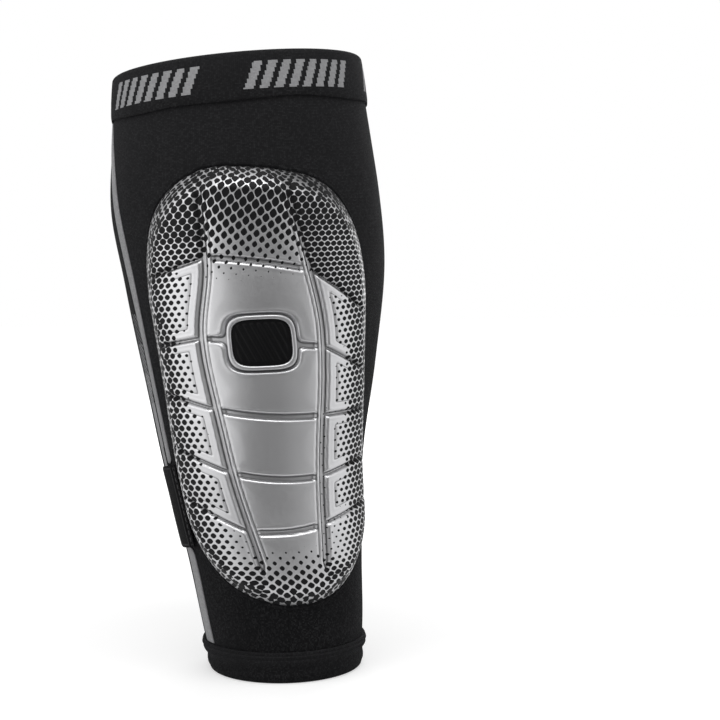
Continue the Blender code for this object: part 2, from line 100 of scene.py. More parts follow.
def lengths(name, description, default):
    return FloatVectorProperty(
        name=name, description=description, default=default, size=len(default), unit="LENGTH", precision=5,
    )


def share(name, description, default):
    return FloatProperty(name=name, description=description, default=default, min=0.0, max=1.0, subtype="FACTOR")


def turn(name, description, degrees):
    return FloatProperty(name=name, description=description, default=math.radians(degrees), subtype="ANGLE")


def power(name, description, default):
    return FloatProperty(name=name, description=description, default=default, unit="POWER")


def colour(name, description, default):
    return FloatVectorProperty(
        name=name, description=description, default=default, size=3, min=0.0, max=1.0, subtype="COLOR",
    )


class LegSettings(bpy.types.PropertyGroup):
    """Sections of the leg that the sleeve is stretched over, from the hem up."""
    heights: lengths("Heights", "Height of each section", (
        0.0, 0.016, 0.050, 0.092, 0.135, 0.175, 0.210, 0.250, 0.270))
    widths: lengths("Widths", "Width of each section", (
        0.0660, 0.0716, 0.0788, 0.0904, 0.1060, 0.1192, 0.1232, 0.1148, 0.1104))
    depths: lengths("Depths", "Depth of each section from shin to calf", (
        0.0700, 0.0735, 0.0800, 0.0915, 0.1055, 0.1155, 0.1190, 0.1128, 0.1076))
    shifts: lengths("Shifts", "Sideways shift of each section", (
        0.0084, 0.0076, 0.0046, 0.0005, 0.0, -0.0009, -0.0043, -0.0064, -0.0074))
    shin_bow: length("Shin bow", "How far the shin bows forward", 0.003)
    rim_slant: FloatProperty(name="Rim slant", description="Sideways slope of the top rim", default=0.085)


class SleeveSettings(bpy.types.PropertyGroup):
    """Knit tube with its cuff, hem and stripe."""
    knit: length("Knit", "Thickness of the knit", 0.0012)
    cuff_height: length("Cuff height", "Height of the doubled top cuff", 0.0205)
    cuff_overlap: length("Cuff overlap", "How far the sleeve reaches up into the cuff", 0.0065)
    hem_height: length("Hem height", "Height of the doubled bottom hem", 0.0115)
    hem_overlap: length("Hem overlap", "How far the sleeve reaches down into the hem", 0.0055)
    roll_radius: length("Roll radius", "Radius of the roll above the hem", 0.0009)
    ripple: length("Ripple", "Height of the soft unevenness of the knit", 0.00014)
    stripe_width: length("Stripe width", "Width of the side stripe", 0.0070)
    stripe_angle: turn("Stripe angle", "Angle of the stripe round the leg", -70)
    stripe_turn: turn("Stripe turn", "How far the stripe turns back at the cuff", -20)
    wales: IntProperty(name="Wales", description="Columns of stitches round the sleeve", default=420)
    courses: IntProperty(name="Courses", description="Rows of stitches up the sleeve", default=400)
    black: colour("Black", "Colour of the knit", (0.0115, 0.0115, 0.0123))
    fleck: colour("Fleck", "Colour of the lighter stitches", (0.040, 0.040, 0.042))
    grey: colour("Grey", "Colour of the stripe and the cuff marks", (0.40, 0.40, 0.41))


class PadSettings(bpy.types.PropertyGroup):
    """Moulded foam pad with its printed skin."""
    top: length("Top", "Height of the pad's top", 0.222)
    shoulder: length("Shoulder", "Height where the round top starts", 0.165)
    toe: length("Toe", "Height where the round toe starts", 0.078)
    bottom: length("Bottom", "Height of the pad's lowest point", 0.034)
    shoulder_width: length("Shoulder width", "Width at the shoulder", 0.104)
    toe_width: length("Toe width", "Width at the toe", 0.092)
    lean: FloatProperty(name="Lean", description="Sideways lean of the middle line", default=0.062)
    shift: length("Shift", "Sideways shift of the middle line", -0.0006)
    crown: length("Crown", "Height of the foam's crown", 0.0052)
    rim: length("Rim", "Height of the foam at its outline", 0.0008)
    skin: length("Skin", "Rise of the moulded blocks over the crown", 0.0022)
    groove_depth: length("Groove depth", "Depth of the grooves between the blocks", 0.0015)
    channel_width: length("Channel width", "Width of the two upright channels", 0.0036)
    groove_width: length("Groove width", "Width of the cross grooves", 0.0036)
    wall: length("Wall", "Width of the sloping groove walls", 0.0010)
    cell_width: length("Cell width", "Sideways repeat of the printed net", 0.0047)
    cell_height: length("Cell height", "Upright repeat of the printed net", 0.0050)
    silver: colour("Silver", "Colour of the silver film", (0.54, 0.54, 0.55))
    ink: colour("Ink", "Colour of the printed net's cells", (0.006, 0.006, 0.0065))


class BadgeSettings(bpy.types.PropertyGroup):
    """Raised frame and black inlay in the middle of the pad."""
    width: length("Width", "Width of the frame", 0.0256)
    height: length("Height", "Height of the frame", 0.0230)
    middle: length("Middle", "Height of the frame's middle", 0.1475)
    shift: length("Shift", "Sideways shift of the frame", -0.0008)
    rise: length("Rise", "Rise of the frame over the crown", 0.0029)
    rim: length("Rim", "Width of the frame's rim", 0.0017)
    gap: length("Gap", "Width of the groove round the frame", 0.0015)


class LabelSettings(bpy.types.PropertyGroup):
    """Woven flag label at the side."""
    angle: turn("Angle", "Angle of the fold round the leg", -62.5)
    bottom: length("Bottom", "Height of the label's lower end", 0.057)
    length: length("Length", "Length along the fold", 0.037)
    flap: length("Flap", "Width of the loose flap", 0.0105)
    tab: length("Tab", "Width of the sewn tab", 0.0026)
    thickness: length("Thickness", "Thickness of the label", 0.0005)
    corner: length("Corner", "Radius of the free corners", 0.0022)


class StageSettings(bpy.types.PropertyGroup):
    """Camera, lamps and floor."""
    camera_place: lengths("Camera place", "Where the camera stands", (-0.04389, -0.67713, 0.17144))
    camera_aim: lengths("Camera aim", "Point in the middle of the picture", (0.050615, 0.001206, 0.135884))
    camera_roll: turn("Camera roll", "Turn of the camera about its view", -0.872)
    lens: FloatProperty(name="Lens", description="Focal length", default=73.52, unit="CAMERA")
    side_lamp: power("Side lamps", "Power of the left lamp, which the right one follows", 5.1)
    top_lamp: power("Top lamp", "Power of the top lamp", 5.8)
    back_lamp: power("Back lamp", "Power of the back lamp", 8.0)
    ambient: share("Ambient", "Strength of the light from all round", 0.42)


SETTINGS = (
    ("guard_leg", LegSettings),
    ("guard_sleeve", SleeveSettings),
    ("guard_pad", PadSettings),
    ("guard_badge", BadgeSettings),
    ("guard_label", LabelSettings),
    ("guard_stage", StageSettings),
)


def blend(low, high, part):
    return low + (high - low) * part


def ease(low, high, value):
    """Smooth step from 0 at low to 1 at high."""
    part = np.clip((value - low) / (high - low), 0.0, 1.0)
    return part * part * (3 - 2 * part)


def hump(distance, width):
    """Soft bump of height 1 at distance 0."""
    return np.exp(-((distance / width) ** 2))


def least(distances, softness):
    """Smallest of several distances, with rounded corners where two meet."""
    nearest = np.minimum.reduce(distances)
    total = sum(np.exp((nearest - distance) / softness) for distance in distances)
    return nearest - softness * np.log(total)


def join(first, second, reach):
    """Smaller of two distances, with a fillet that reaches this far where they meet."""
    close = np.maximum(reach - np.abs(first - second), 0) / reach
    return np.minimum(first, second) - close ** 2 * reach / 4


def through(heights, values, z):
    """Smooth curve through the values at climbing heights."""
    last = len(heights) - 1
    below = np.maximum(np.arange(last + 1) - 1, 0)
    above = np.minimum(np.arange(last + 1) + 1, last)
    steep = (values[above] - values[below]) / (heights[above] - heights[below])
    first = np.clip(np.searchsorted(heights, z, side="left") - 1, 0, last - 1)
    span = heights[first + 1] - heights[first]
    t = (z - heights[first]) / span
    rise = 3 * t ** 2 - 2 * t ** 3
    return (
        values[first] * (1 - rise)
        + values[first + 1] * rise
        + span * steep[first] * (t ** 3 - 2 * t ** 2 + t)
        + span * steep[first + 1] * (t ** 3 - t ** 2)
    )


class Leg:
    """Form of the leg: places a point at an angle from the front, a height, and a way out from the sleeve's face."""

    def __init__(self):
        settings = bpy.context.scene.guard_leg
        self.heights = np.array(settings.heights)
        self.widths = np.array(settings.widths)
        self.depths = np.array(settings.depths)
        self.shifts = np.array(settings.shifts)
        self.bow = settings.shin_bow
        self.slant = settings.rim_slant
        self.top = self.heights[-1]
        low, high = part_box("bottom_hem")
        hem = bpy.context.scene.guard_sleeve.hem_height
        middle = self.size(self.shifts, hem)
        back = self.size(self.depths, hem)
        reach = ((high.y - low.y) - back) / 2
        self.stand = np.array(((low.x + high.x) / 2 - middle, low.y + reach - self.front_line(hem)))

    def size(self, values, z):
        return through(self.heights, values, z)

    def girth_radius(self, z):
        """Radius that turns a way round the leg into an angle."""
        return (self.size(self.widths, z) + self.size(self.depths, z)) / 4

    def front_line(self, z):
        """How far back the bowed shin lies."""
        middle = self.top / 2
        return self.bow * ((z - middle) / middle) ** 2

    def place(self, angle, z, out):
        width = self.size(self.widths, z)
        depth = self.size(self.depths, z)
        sideways = np.sin(angle) / width
        backward = -np.cos(angle) / depth
        steep = np.hypot(sideways, backward)
        side = width / 2 * np.sin(angle) + out * sideways / steep
        back = depth / 2 * (1 - np.cos(angle)) + out * backward / steep
        tilt = self.slant * (z / self.top) ** 2
        x = self.size(self.shifts, z) + side + self.stand[0]
        y = self.front_line(z) + back + self.stand[1]
        return x, y, z + tilt * side


class Pad:
    """Outline, crown and moulded relief of the pad, measured across from its own leaning middle line."""

    # Slant of the crown, the heights where it comes in, and how far it goes on to either side
    CROWN_TILT = 0.11
    TILT_HEIGHTS = (0.182, 0.212)
    TILT_ENDS = (-14 * MM, 20 * MM)
    # Power of the rounded ends on the right and on the left: 2 is an ellipse, more is squarer
    CROWN_SQUARENESS = (3.1, 2.15)
    TOE_SQUARENESS = (1.9, 2.0)
    DOME_POWER = 6
    # Middle block column at climbing heights: its width and its shift from the pad's middle line
    COLUMN_HEIGHTS = np.array((0.052, 0.105, 0.150, 0.180, 0.216))
    COLUMN_WIDTHS = np.array((0.0244, 0.0382, 0.0474, 0.0396, 0.0335))
    COLUMN_SHIFTS = np.array((0.0002, 0.0002, -0.0003, 0.0009, 0.0012))
    # Cross grooves from toe to crown: height, slant, bow, and slope over the outer and the inner wing
    GROOVES = (
        (0.0683, 0.06, -0.0013, 0.55, 0.31),
        (0.0913, -0.085, -0.0017, 0.44, 0.28),
        (0.1177, -0.10, -0.0015, 0.31, 0.05),
        (0.1474, -0.12, 0.0, -0.16, -0.55),
        (0.1806, -0.18, 0.0010, -0.28, -0.75),
    )
    # How far in from a channel its scored line lies, and how far in from its sides a wing block's border lies
    RIDGE = 1.1 * MM
    BORDER = 3.3 * MM
    SCORE = 0.35 * MM
    GROOVE_CORNER = 0.30 * MM
    # Distance in millimetres that is too far away to draw a line
    FAR = 9.0
    # Size of the printed cells at climbing heights of the crown and of the toe, and going out over a wing
    CROWN_CELLS = (0.170, 0.178, 0.1845, 0.193, 0.203, 0.208), (-0.1, 0.22, 0.52, 0.74, 0.88, 0.90)
    TOE_CELLS = (0.036, 0.040, 0.0468, 0.0536, 0.0590, 0.062), (0.88, 0.84, 0.70, 0.45, 0.18, -0.1)
    WING_CELLS = (0.0, 0.12, 0.28, 0.48, 0.70, 1.0), (0.12, 0.20, 0.35, 0.48, 0.56, 0.60)
    RIM_CELL = 0.84
    # Spacing of the net's rows, and of its columns on the wings, at climbing heights
    ROW_SPACING = (0.045, 0.070, 0.172, 0.182, 0.195, 0.210), (0.80, 1.0, 1.0, 0.86, 0.98, 1.14)
    WING_SPACING = (0.048, 0.075, 0.188, 0.214), (0.86, 0.70, 0.70, 0.92)
    # How wide the cells of the middle column are for their height, at the toe and at the crown
    COLUMN_CELLS = (1.30, 1.42)
    # Power of the cells' outline: 1 is a diamond, 2 is an ellipse. Those narrower than ROUND_CELL have the wings' power
    CELL_POWER = 1.45
    WING_POWER = 1.7
    ROUND_CELL = 0.90

    def __init__(self, leg):
        self.leg = leg
        self.set = bpy.context.scene.guard_pad
        self.badge = bpy.context.scene.guard_badge

    def middle(self, z):
        """Where the leaning middle line lies round the leg."""
        return self.set.shift - self.set.lean * (z - (self.set.top + self.set.bottom) / 2)

    def tilt(self, across, z):
        """Drop of the slanting crown towards its inner side."""
        return self.CROWN_TILT * ease(*self.TILT_HEIGHTS, z) * np.clip(across, *self.TILT_ENDS)

    def place(self, across, z, out):
        z = z - self.tilt(across, z)
        return self.leg.place((self.middle(z) + across) / self.leg.girth_radius(z), z, out)

    def squareness(self, right, upper):
        """Power of the outline's rounded ends."""
        return np.where(upper, np.where(right, *self.CROWN_SQUARENESS), np.where(right, *self.TOE_SQUARENESS))

    def side(self, z):
        """Half of the width between the rounded ends."""
        s = self.set
        return blend(s.toe_width, s.shoulder_width, np.clip((z - s.toe) / (s.shoulder - s.toe), 0, 1)) / 2

    def ends(self, z):
        """How far a height lies up into the round crown and down into the round toe, from 0 to 1."""
        s = self.set
        return np.maximum(z - s.shoulder, 0) / (s.top - s.shoulder), np.maximum(s.toe - z, 0) / (s.toe - s.bottom)

    def half_width(self, z, right):
        """Width from the middle line to the outline on one side."""
        climb, drop = self.ends(z)
        power = self.squareness(right, climb > 0)
        inside = np.maximum(0.0, 1 - np.minimum(1.0, climb + drop) ** power)
        return self.side(z) * inside ** (1 / power)

    def reach(self, across, z):
        """1 on the outline, 0 on the middle line."""
        climb, drop = self.ends(z)
        power = self.squareness(across > 0, climb > 0)
        return (np.abs(across / self.side(z)) ** power + (climb + drop) ** power) ** (1 / power)

    def edge(self, across, z):
        """Distance in from the outline."""
        return (1 - self.reach(across, z)) * self.set.toe_width / 2

    def dome(self, across, z):
        """Height of the foam's crown over the sleeve's face."""
        full = np.sqrt(1 - np.minimum(1.0, self.reach(across, z)) ** self.DOME_POWER)
        return blend(self.set.rim, self.set.crown, full)

    def column_half(self, z):
        """Half of the block column's width."""
        return through(self.COLUMN_HEIGHTS, self.COLUMN_WIDTHS, z) / 2

    def from_column(self, across, z):
        """Distance across from the middle of the block column."""
        return across - through(self.COLUMN_HEIGHTS, self.COLUMN_SHIFTS, z)

    def groove_line(self, groove, across):
        """Height of a cross groove's middle."""
        height, slant, bow, outer, inner = groove
        offset = self.from_column(across, np.array(height))
        half = float(self.column_half(np.array(height)))
        centre = height + slant * offset + bow * (1 - (offset / half) ** 2)
        slope = np.where(offset < 0, outer, inner)
        wing = height + slant * half * np.sign(offset) + slope * (np.abs(offset) - half)
        return np.where(np.abs(offset) <= half, centre, wing)

    def badge_distance(self, across, z):
        """Distance out from the badge's rounded outline."""
        b = self.badge
        x = np.abs(across - b.shift) / (b.width / 2)
        y = np.abs(z - b.middle) / (b.height / 2)
        return ((x ** 4 + y ** 4) ** 0.25 - 1) * b.height / 2

    def relief(self, across, z):
        """Rise of the skin over the crown, with the distances and shares from which its finish paints shade in the
        grooves, in the creases and along the rim.
        """
        s = self.set
        beside = np.abs(self.from_column(across, z)) - self.column_half(z)
        edge = self.edge(across, z)
        channel = np.abs(beside) - s.channel_width / 2 + 2.6 * MM * (1 - ease(0.044, 0.054, z))
        lines = [self.groove_line(groove, across) for groove in self.GROOVES]
        past_ridge = beside + s.channel_width / 2 + self.RIDGE
        crossing = [np.abs(z - line) - s.groove_width / 2 for line in lines]
        wings = [np.maximum(cross + 0.4 * MM, -beside) for cross in crossing]
        badge = self.badge_distance(across, z) - self.badge.gap

        def nearest(middle):
            round_badge = join(badge, middle[3], 3 * MM)
            return least([channel, round_badge, *middle[:3], middle[4], *wings], self.GROOVE_CORNER)

        # Way out from the nearest groove, which is below 0 inside it, and how far the relief is kept near the outline
        clear = nearest([np.maximum(cross, past_ridge) for cross in crossing])
        floor = 1 - ease(-s.wall, 0.0, clear)
        kept = ease(2.5 * MM, 8.5 * MM, edge)
        span = np.maximum(self.half_width(z, across > 0) - self.column_half(z) - s.channel_width, 1 * MM)
        outward = np.clip((beside - s.channel_width / 2) / span, 0, 1)
        ridge = np.where((beside < 0) & (z > 0.055), past_ridge, self.FAR * MM)
        blocks = (beside > 0) & (z > lines[0]) & (z < lines[-1] + 2 * MM)
        border = np.where(blocks, clear - self.BORDER, self.FAR * MM)
        shown = 1 - ease(0.30, 0.62, outward)
        swell = s.skin * ease(0.0, 8.0 * MM, edge) + 0.25 * MM * ease(0.0, 7.0 * MM, clear) * kept
        bead = 0.11 * MM * hump(clear - 0.55 * MM, 0.45 * MM)
        brow = 0.25 * MM * hump(edge - 7.5 * MM, 1.1 * MM) * ease(0.150, 0.185, z)
        scored = 0.30 * MM * (hump(ridge, self.SCORE) + hump(border, self.SCORE) * shown)
        fall = s.groove_depth * floor + scored * ease(0.0, 0.6 * MM, clear)
        # From these facts the finish paints shade on the groove floors, in the creases and scored lines, and along the
        # rim
        facts = {
            "groove": np.where(past_ridge < 0.2 * MM, nearest(crossing), clear) / MM,
            "kept": kept,
            # Share of the painted shade on the groove floors, less in the wings' grooves
            "floor_shade_share": np.where(beside > s.channel_width / 2 + 0.3 * MM, 0.25, 1.0),
            "ridge": ridge / MM,
            "border": np.where(shown > 0.02, border / MM, self.FAR),
            "cell_size": self.cell_size(across, z, beside, edge, clear, outward, lines),
            "rim": self.flecks(across, z, edge),
            # Painted shade along the rim, strongest over the crown's top and on its right side
            "rim_shade": (1 - ease(2.0 * MM, 8.0 * MM, edge)) * blend(0.25, 1.0, ease(0.185, 0.205, z))
            * blend(0.6, 1.0, ease(-0.020, 0.004, across)),
        }
        return swell + brow + (bead - fall) * kept, facts

    def cell_size(self, across, z, beside, edge, clear, outward, lines):
        """Size of the printed cells: 0 leaves plain silver, and about 0.85 lets neighbours touch."""
        crown = np.interp(z, *self.CROWN_CELLS)
        toe = np.interp(z, *self.TOE_CELLS)
        column = np.maximum(crown, toe)
        wing = np.interp(outward, *self.WING_CELLS)
        above = blend(np.maximum(wing, 0.54), np.minimum(crown, 0.72), ease(0.186, 0.200, z))
        wing = np.where(z > lines[-1], above, wing)
        wing = np.maximum(wing, 0.85 * toe)
        plain = (1 - ease(1.6 * MM, 3.2 * MM, clear)) * (1 - ease(0.20, 0.42, outward))
        wing = wing - 0.6 * plain * ((z > lines[0] - 2 * MM) & (z < lines[-1]))
        speckled = (across > 0) & (z < 0.120) & (clear < -0.2 * MM) & (beside > -1.5 * MM)
        size = np.where(beside < 0, column, wing)
        size = np.where(speckled, np.maximum(size, 0.13), size)
        band = self.flecks(across, z, edge) * ease(0.042, 0.056, z)
        return blend(size, np.maximum(size, self.RIM_CELL), band)

    def flecks(self, across, z, edge):
        """How far the net breaks up into loose flecks along the rim, which reach further in on the outer wing."""
        inner = np.maximum(ease(-12 * MM, 12 * MM, across) * ease(0.046, 0.070, z), ease(0.150, 0.185, z))
        return 1 - ease(blend(4.5 * MM, 3 * MM, inner), blend(13 * MM, 9.5 * MM, inner), edge)

    def touching(self, wide):
        """Size at which neighbouring cells all but touch."""
        power = np.where(wide < self.ROUND_CELL, self.WING_POWER, self.CELL_POWER)
        return 0.97 * np.minimum(wide, 2 * ((0.25 * wide) ** power + 0.25 ** power) ** (1 / power))

    def net(self, across, z):
        """Place of a point in the printed net counted in cells, and how wide its cells are for their height."""
        s = self.set
        offset = self.from_column(across, z)
        half = self.column_half(z)
        past = np.sign(offset) * np.maximum(np.abs(offset) - half, 0)
        slope = -0.02 - 0.17 * (z - 0.05) / 0.15
        wing = np.where(offset > 0, 0.14 * (1 - ease(0.150, 0.190, z)), 0.03)
        level = z - slope * np.clip(offset, -half, half) - wing * past
        climb, drop = self.ends(z)
        outward = np.stack((across / self.side(z) ** 2, climb / (s.top - s.shoulder) - drop / (s.toe - s.bottom)))
        outward = outward / np.maximum(np.hypot(*outward), 1e-9)
        rim = 8 * MM
        crowd = 2.4 * (rim - np.clip(self.edge(across, z), 0, rim)) ** 2 / (2 * rim) * ease(0.040, 0.075, z)
        level = level + outward[1] * crowd
        heights = np.linspace(0.0, 0.26, 521)
        rows = np.cumsum((heights[1] - heights[0]) / (s.cell_height * np.interp(heights, *self.ROW_SPACING)))
        narrow = np.where(offset > 0, 0.82, 1.0) * np.interp(z, *self.WING_SPACING)
        lean = 0.33 * np.maximum(z - 0.170, 0)
        along = (across - past - lean) / s.cell_width + (past + outward[0] * crowd) / (s.cell_width * narrow)
        column = blend(*self.COLUMN_CELLS, ease(0.120, 0.180, z))
        wide = np.where(past == 0, column, np.where(offset > 0, 0.95, 0.89) * narrow)
        return along, np.interp(level, heights, rows), wide


# Bench: flat blanks, pressing and putting in place

def blank(columns, rows):
    """Flat sheet of cells from -1 to 1 each way, with UVs from 0 to 1."""
    bm = bmesh.new()
    bm.loops.layers.uv.new("weave")
    bmesh.ops.create_grid(bm, x_segments=columns, y_segments=rows, size=1, calc_uvs=True)
    bm.verts.index_update()
    return bm


def points_of(bm):
    return np.array([vertex.co for vertex in bm.verts]).T


def press(bm, place):
    """Move each point of a blank to its place, and close the seams where its sides meet."""
    for vertex, point in zip(bm.verts, np.stack(place(*points_of(bm)), axis=1)):
        vertex.co = point
    bmesh.ops.remove_doubles(bm, verts=bm.verts, dist=SEAM)
    return bm


def face_outwards(bm):
    """Turn a closed shape round if its faces point inwards."""
    if bm.calc_volume(signed=True) < 0:
        bmesh.ops.reverse_faces(bm, faces=bm.faces)
    return bm


def lay_weave(bm, place):
    """Give each corner the place in the weave that comes from its point and its place up to now."""
    weave = bm.loops.layers.uv["weave"]
    for face in bm.faces:
        for corner in face.loops:
            corner[weave].uv = place(corner.vert.co, corner[weave].uv)


def shape(name, bm, finish):
    """Object with a bmesh's faces and a finish, put in the scene."""
    mesh = bpy.data.meshes.new(name)
    bm.to_mesh(mesh)
    bm.free()
    mesh.materials.append(finish)
    made = bpy.data.objects.new(name, mesh)
    bpy.context.scene.collection.objects.link(made)
    return made


def piece(name, bm, finish, nodes, body="guard"):
    """Finished piece, riding on its body in the place of its solids."""
    made = shape(name, bm, finish)
    made.data.shade_smooth()
    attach(made, body)
    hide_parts(*nodes)
    return made


def thicken(made, thickness):
    """Wall that grows inwards from a piece's face."""
    wall = made.modifiers.new("wall", "SOLIDIFY")
    wall.thickness = thickness
    wall.offset = -1.0
    wall.use_even_offset = True


def follow(profile):
    """Function that gives the points along a closed profile, from -1 at its start to 1 back there."""
    line = np.array([*profile, profile[0]])
    count = np.arange(len(line))

    def at(y):
        step = (y + 1) / 2 * len(profile)
        return np.interp(step, count, line[:, 0]), np.interp(step, count, line[:, 1])
    return at


def ring(profile, leg, sway=None):
    """Closed ring round the leg, from a closed profile of (out, z) points that may sway up and down."""
    at = follow(profile)

    def place(x, y, _):
        angle = x * math.pi
        out, z = at(y)
        if sway:
            z = z + sway(angle, z)
        return leg.place(angle, z, out)
    return press(blank(ROUND_CELLS, len(profile)), place)


def evenly(corners, step):
    """Points at even steps along a closed line of corners."""
    line = np.array([*corners, corners[0]], float)
    gone = np.concatenate(([0.0], np.cumsum(np.hypot(*np.diff(line, axis=0).T))))
    count = max(8, int(round(gone[-1] / step)))
    at = np.linspace(0, gone[-1], count, endpoint=False)
    return list(zip(np.interp(at, gone, line[:, 0]), np.interp(at, gone, line[:, 1])))


def arc(middle, radius, start, end, steps):
    """Points along an arc between two angles in degrees."""
    turns = np.radians(np.linspace(start, end, steps))
    return [(middle[0] + radius * math.cos(turn), middle[1] + radius * math.sin(turn)) for turn in turns]


def sleeve_face(angle, z):
    """How far the knit swells or draws in, with the soft unevenness of a stretched tube."""
    settings = bpy.context.scene.guard_sleeve
    wave = np.sin(5 * angle + 61 * z) * np.sin(43 * z + 1.3) + 0.6 * np.sin(9 * angle - 37 * z + 0.7)
    hold = ease(settings.hem_height, 0.035, z) * (1 - ease(0.228, 0.2495, z))
    return settings.ripple * wave * hold


# Finishes

def by(operation, turned=False):
    """Method of a value that leads it on through one math node, as its last input when turned."""
    def method(self, *others):
        values = (*others, self) if turned else (self, *others)
        return self.wiring.value("Math", dict(enumerate(values)), operation=operation)
    return method


class Value:
    """Number in a finish's wiring, which plain arithmetic leads on through math nodes."""

    def __init__(self, wiring, socket):
        self.wiring = wiring
        self.socket = socket

    __add__, __radd__ = by("ADD"), by("ADD", turned=True)
    __sub__, __rsub__ = by("SUBTRACT"), by("SUBTRACT", turned=True)
    __truediv__, __rtruediv__ = by("DIVIDE"), by("DIVIDE", turned=True)
    __mul__, __pow__, __abs__ = by("MULTIPLY"), by("POWER"), by("ABSOLUTE")
    __lt__, __gt__ = by("LESS_THAN"), by("GREATER_THAN")
    floor, fract, sine = by("FLOOR"), by("FRACT"), by("SINE")
    least, most = by("MINIMUM"), by("MAXIMUM")

    def range(self, low, high, start, end, **settings):
        """Runs from start to end while the value runs from low to high."""
        return self.wiring.value("MapRange", dict(enumerate((self, low, high, start, end))), **settings)

    def step(self, low, high):
        """Smooth step from 0 at low to 1 at high."""
        return self.range(low, high, 0.0, 1.0, interpolation_type="SMOOTHSTEP")

    def line(self, at, width):
        """1 where the value is at a line, falling to 0 a width away from it."""
        return 1.0 - abs(self - at).step(width * 0.3, width)


class Wiring:
    """Node tree, wired node by node."""

    def __init__(self, tree):
        self.tree = tree

    def feed(self, socket, value):
        """Link a value to a socket, or put a constant on it."""
        value = getattr(value, "socket", value)
        if isinstance(value, bpy.types.NodeSocket):
            self.tree.links.new(value, socket)
        elif socket.type == "RGBA":
            socket.default_value = (*value[:3], 1.0)
        else:
            socket.default_value = value

    def node(self, kind, inputs=(), **settings):
        made = self.tree.nodes.new("ShaderNode" + kind)
        for name, value in settings.items():
            setattr(made, name, value)
        for key, value in dict(inputs).items():
            self.feed(made.inputs[key], value)
        return made

    def value(self, kind, inputs=(), output=0, **settings):
        """One output of a new node."""
        return Value(self, self.node(kind, inputs, **settings).outputs[output])

    def mix(self, part, first, second):
        """Blend of two colours."""
        return self.value("Mix", {0: part, 6: first, 7: second}, 2, data_type="RGBA")

    def seen(self):
        """1 for a ray from the camera, straight, mirrored or let through, and 0 for light that bounces."""
        path = self.node("LightPath")
        camera, glossy, passed = (
            Value(self, path.outputs[f"Is {ray} Ray"]) for ray in ("Camera", "Glossy", "Transmission"))
        return camera.most(glossy).most(passed)


class Finish(Wiring):
    """One procedural material."""

    def __init__(self, name):
        self.material = bpy.data.materials.new(name)
        self.material.use_nodes = True
        super().__init__(self.material.node_tree)
        self.shader = self.tree.nodes["Principled BSDF"]

    def set(self, **values):
        """Values for the shader, by socket name with underscores."""
        for name, value in values.items():
            self.feed(self.shader.inputs[name.replace("_", " ")], value)

    def uv(self, name):
        """The two values of a UV map."""
        apart = self.node("SeparateXYZ", {0: self.value("UVMap", uv_map=name)})
        return [Value(self, apart.outputs[count]) for count in range(2)]

    def attribute(self, name):
        return self.value("Attribute", output="Fac", attribute_name=name)

    def where(self):
        return self.value("TexCoord", output="Object")

    def noise(self, scale, detail):
        return self.value("TexNoise", {"Vector": self.where(), "Scale": scale, "Detail": detail}, "Fac")

    def per_stitch(self, stitch, course):
        """Even random value for each stitch."""
        cell = self.value("CombineXYZ", {0: stitch, 1: course})
        return self.value("TexWhiteNoise", {0: cell}, noise_dimensions="2D")

    def bump(self, height, distance, strength):
        made = self.value("Bump", {"Height": height, "Distance": distance, "Strength": strength}, "Normal")
        self.set(Normal=made)

    def stitches(self, column, row):
        """Height of a plain knit: each stitch is a V, leaning out from the middle of its column."""
        lean = abs(column.fract() * 2.0 - 1.0)
        climb = (row + lean * 0.5).fract()
        yarn = (climb * math.pi).sine()
        round_off = 1.0 - lean ** 3.0 * 0.75
        valley = lean.step(0.0, 0.22).range(0.0, 1.0, 0.55, 1.0)
        return yarn * round_off * valley


def knit_finish(name, columns, rows, marks=None, gain=0.42, start=0.30):
    """Fine black knit with painted light that makes it paler towards the top of its weave, painted shade between the
    stitches, lighter flecks and, where asked, grey stitches.
    """
    settings = bpy.context.scene.guard_sleeve
    finish = Finish(name)
    u, v = finish.uv("weave")
    column, row = u * columns, v * rows
    stitch, course = column.floor(), row.floor()
    height = finish.stitches(column, row)
    speck = finish.per_stitch(stitch, course)
    tone = speck ** 2.2 * finish.noise(38.0, 3.0).range(0.3, 0.7, 0.45, 1.0)
    # Painted light: the knit grows paler towards the top of its weave, from start on
    black = finish.mix(v.range(start, 1.0, 0.0, gain), settings.black, settings.fleck)
    base = finish.mix(tone, black, settings.fleck)
    # Painted shade in the valleys between the stitches
    base = finish.mix(height.range(0.0, 1.0, 0.55, 0.0), base, YARN_GAP_SHADE)
    if marks:
        worn = finish.mix(speck.range(0.0, 1.0, 0.0, 0.40), settings.grey, WORN_MARK)
        base = finish.mix(marks(stitch, course, columns, rows), base, worn)
    finish.set(
        Base_Color=base, Roughness=height.range(0.0, 1.0, 0.95, 0.75), Specular_IOR_Level=0.03,
        Sheen_Weight=0.035, Sheen_Roughness=0.35, Sheen_Tint=SHEEN)
    finish.bump(height, 0.22 * MM, 0.75)
    return finish.material


def back_stripe(stitch, course, columns, rows):
    """Second stripe, knitted in behind the first one, which starts in a scatter of dots."""
    u, v = (stitch + 0.5) / columns, (course + 0.5) / rows
    inside = abs(u - (0.281 + v * 0.012)) < v.range(0.30, 0.62, 0.0075, 0.0115)
    dots = ((stitch + course) * 0.25).fract()
    return inside * (dots < v.range(0.38, 0.62, 1.1, 0.0))


def slanted_bars(stitch, course, columns, rows):
    """Groups of slanted bars, knitted in round the cuff."""
    groups, filled, bars = 5.0, 0.715, 8.0
    low, high = 0.20, 0.74
    u, v = stitch / columns, course / rows
    lean = (v - low) * -0.024
    along = ((u + lean + 0.005) * groups).fract()
    along = (along + 0.5).fract()
    bar = (along * (bars / filled)).fract()
    return (along < filled) * (bar < 0.60) * (v > low) * (v < high)


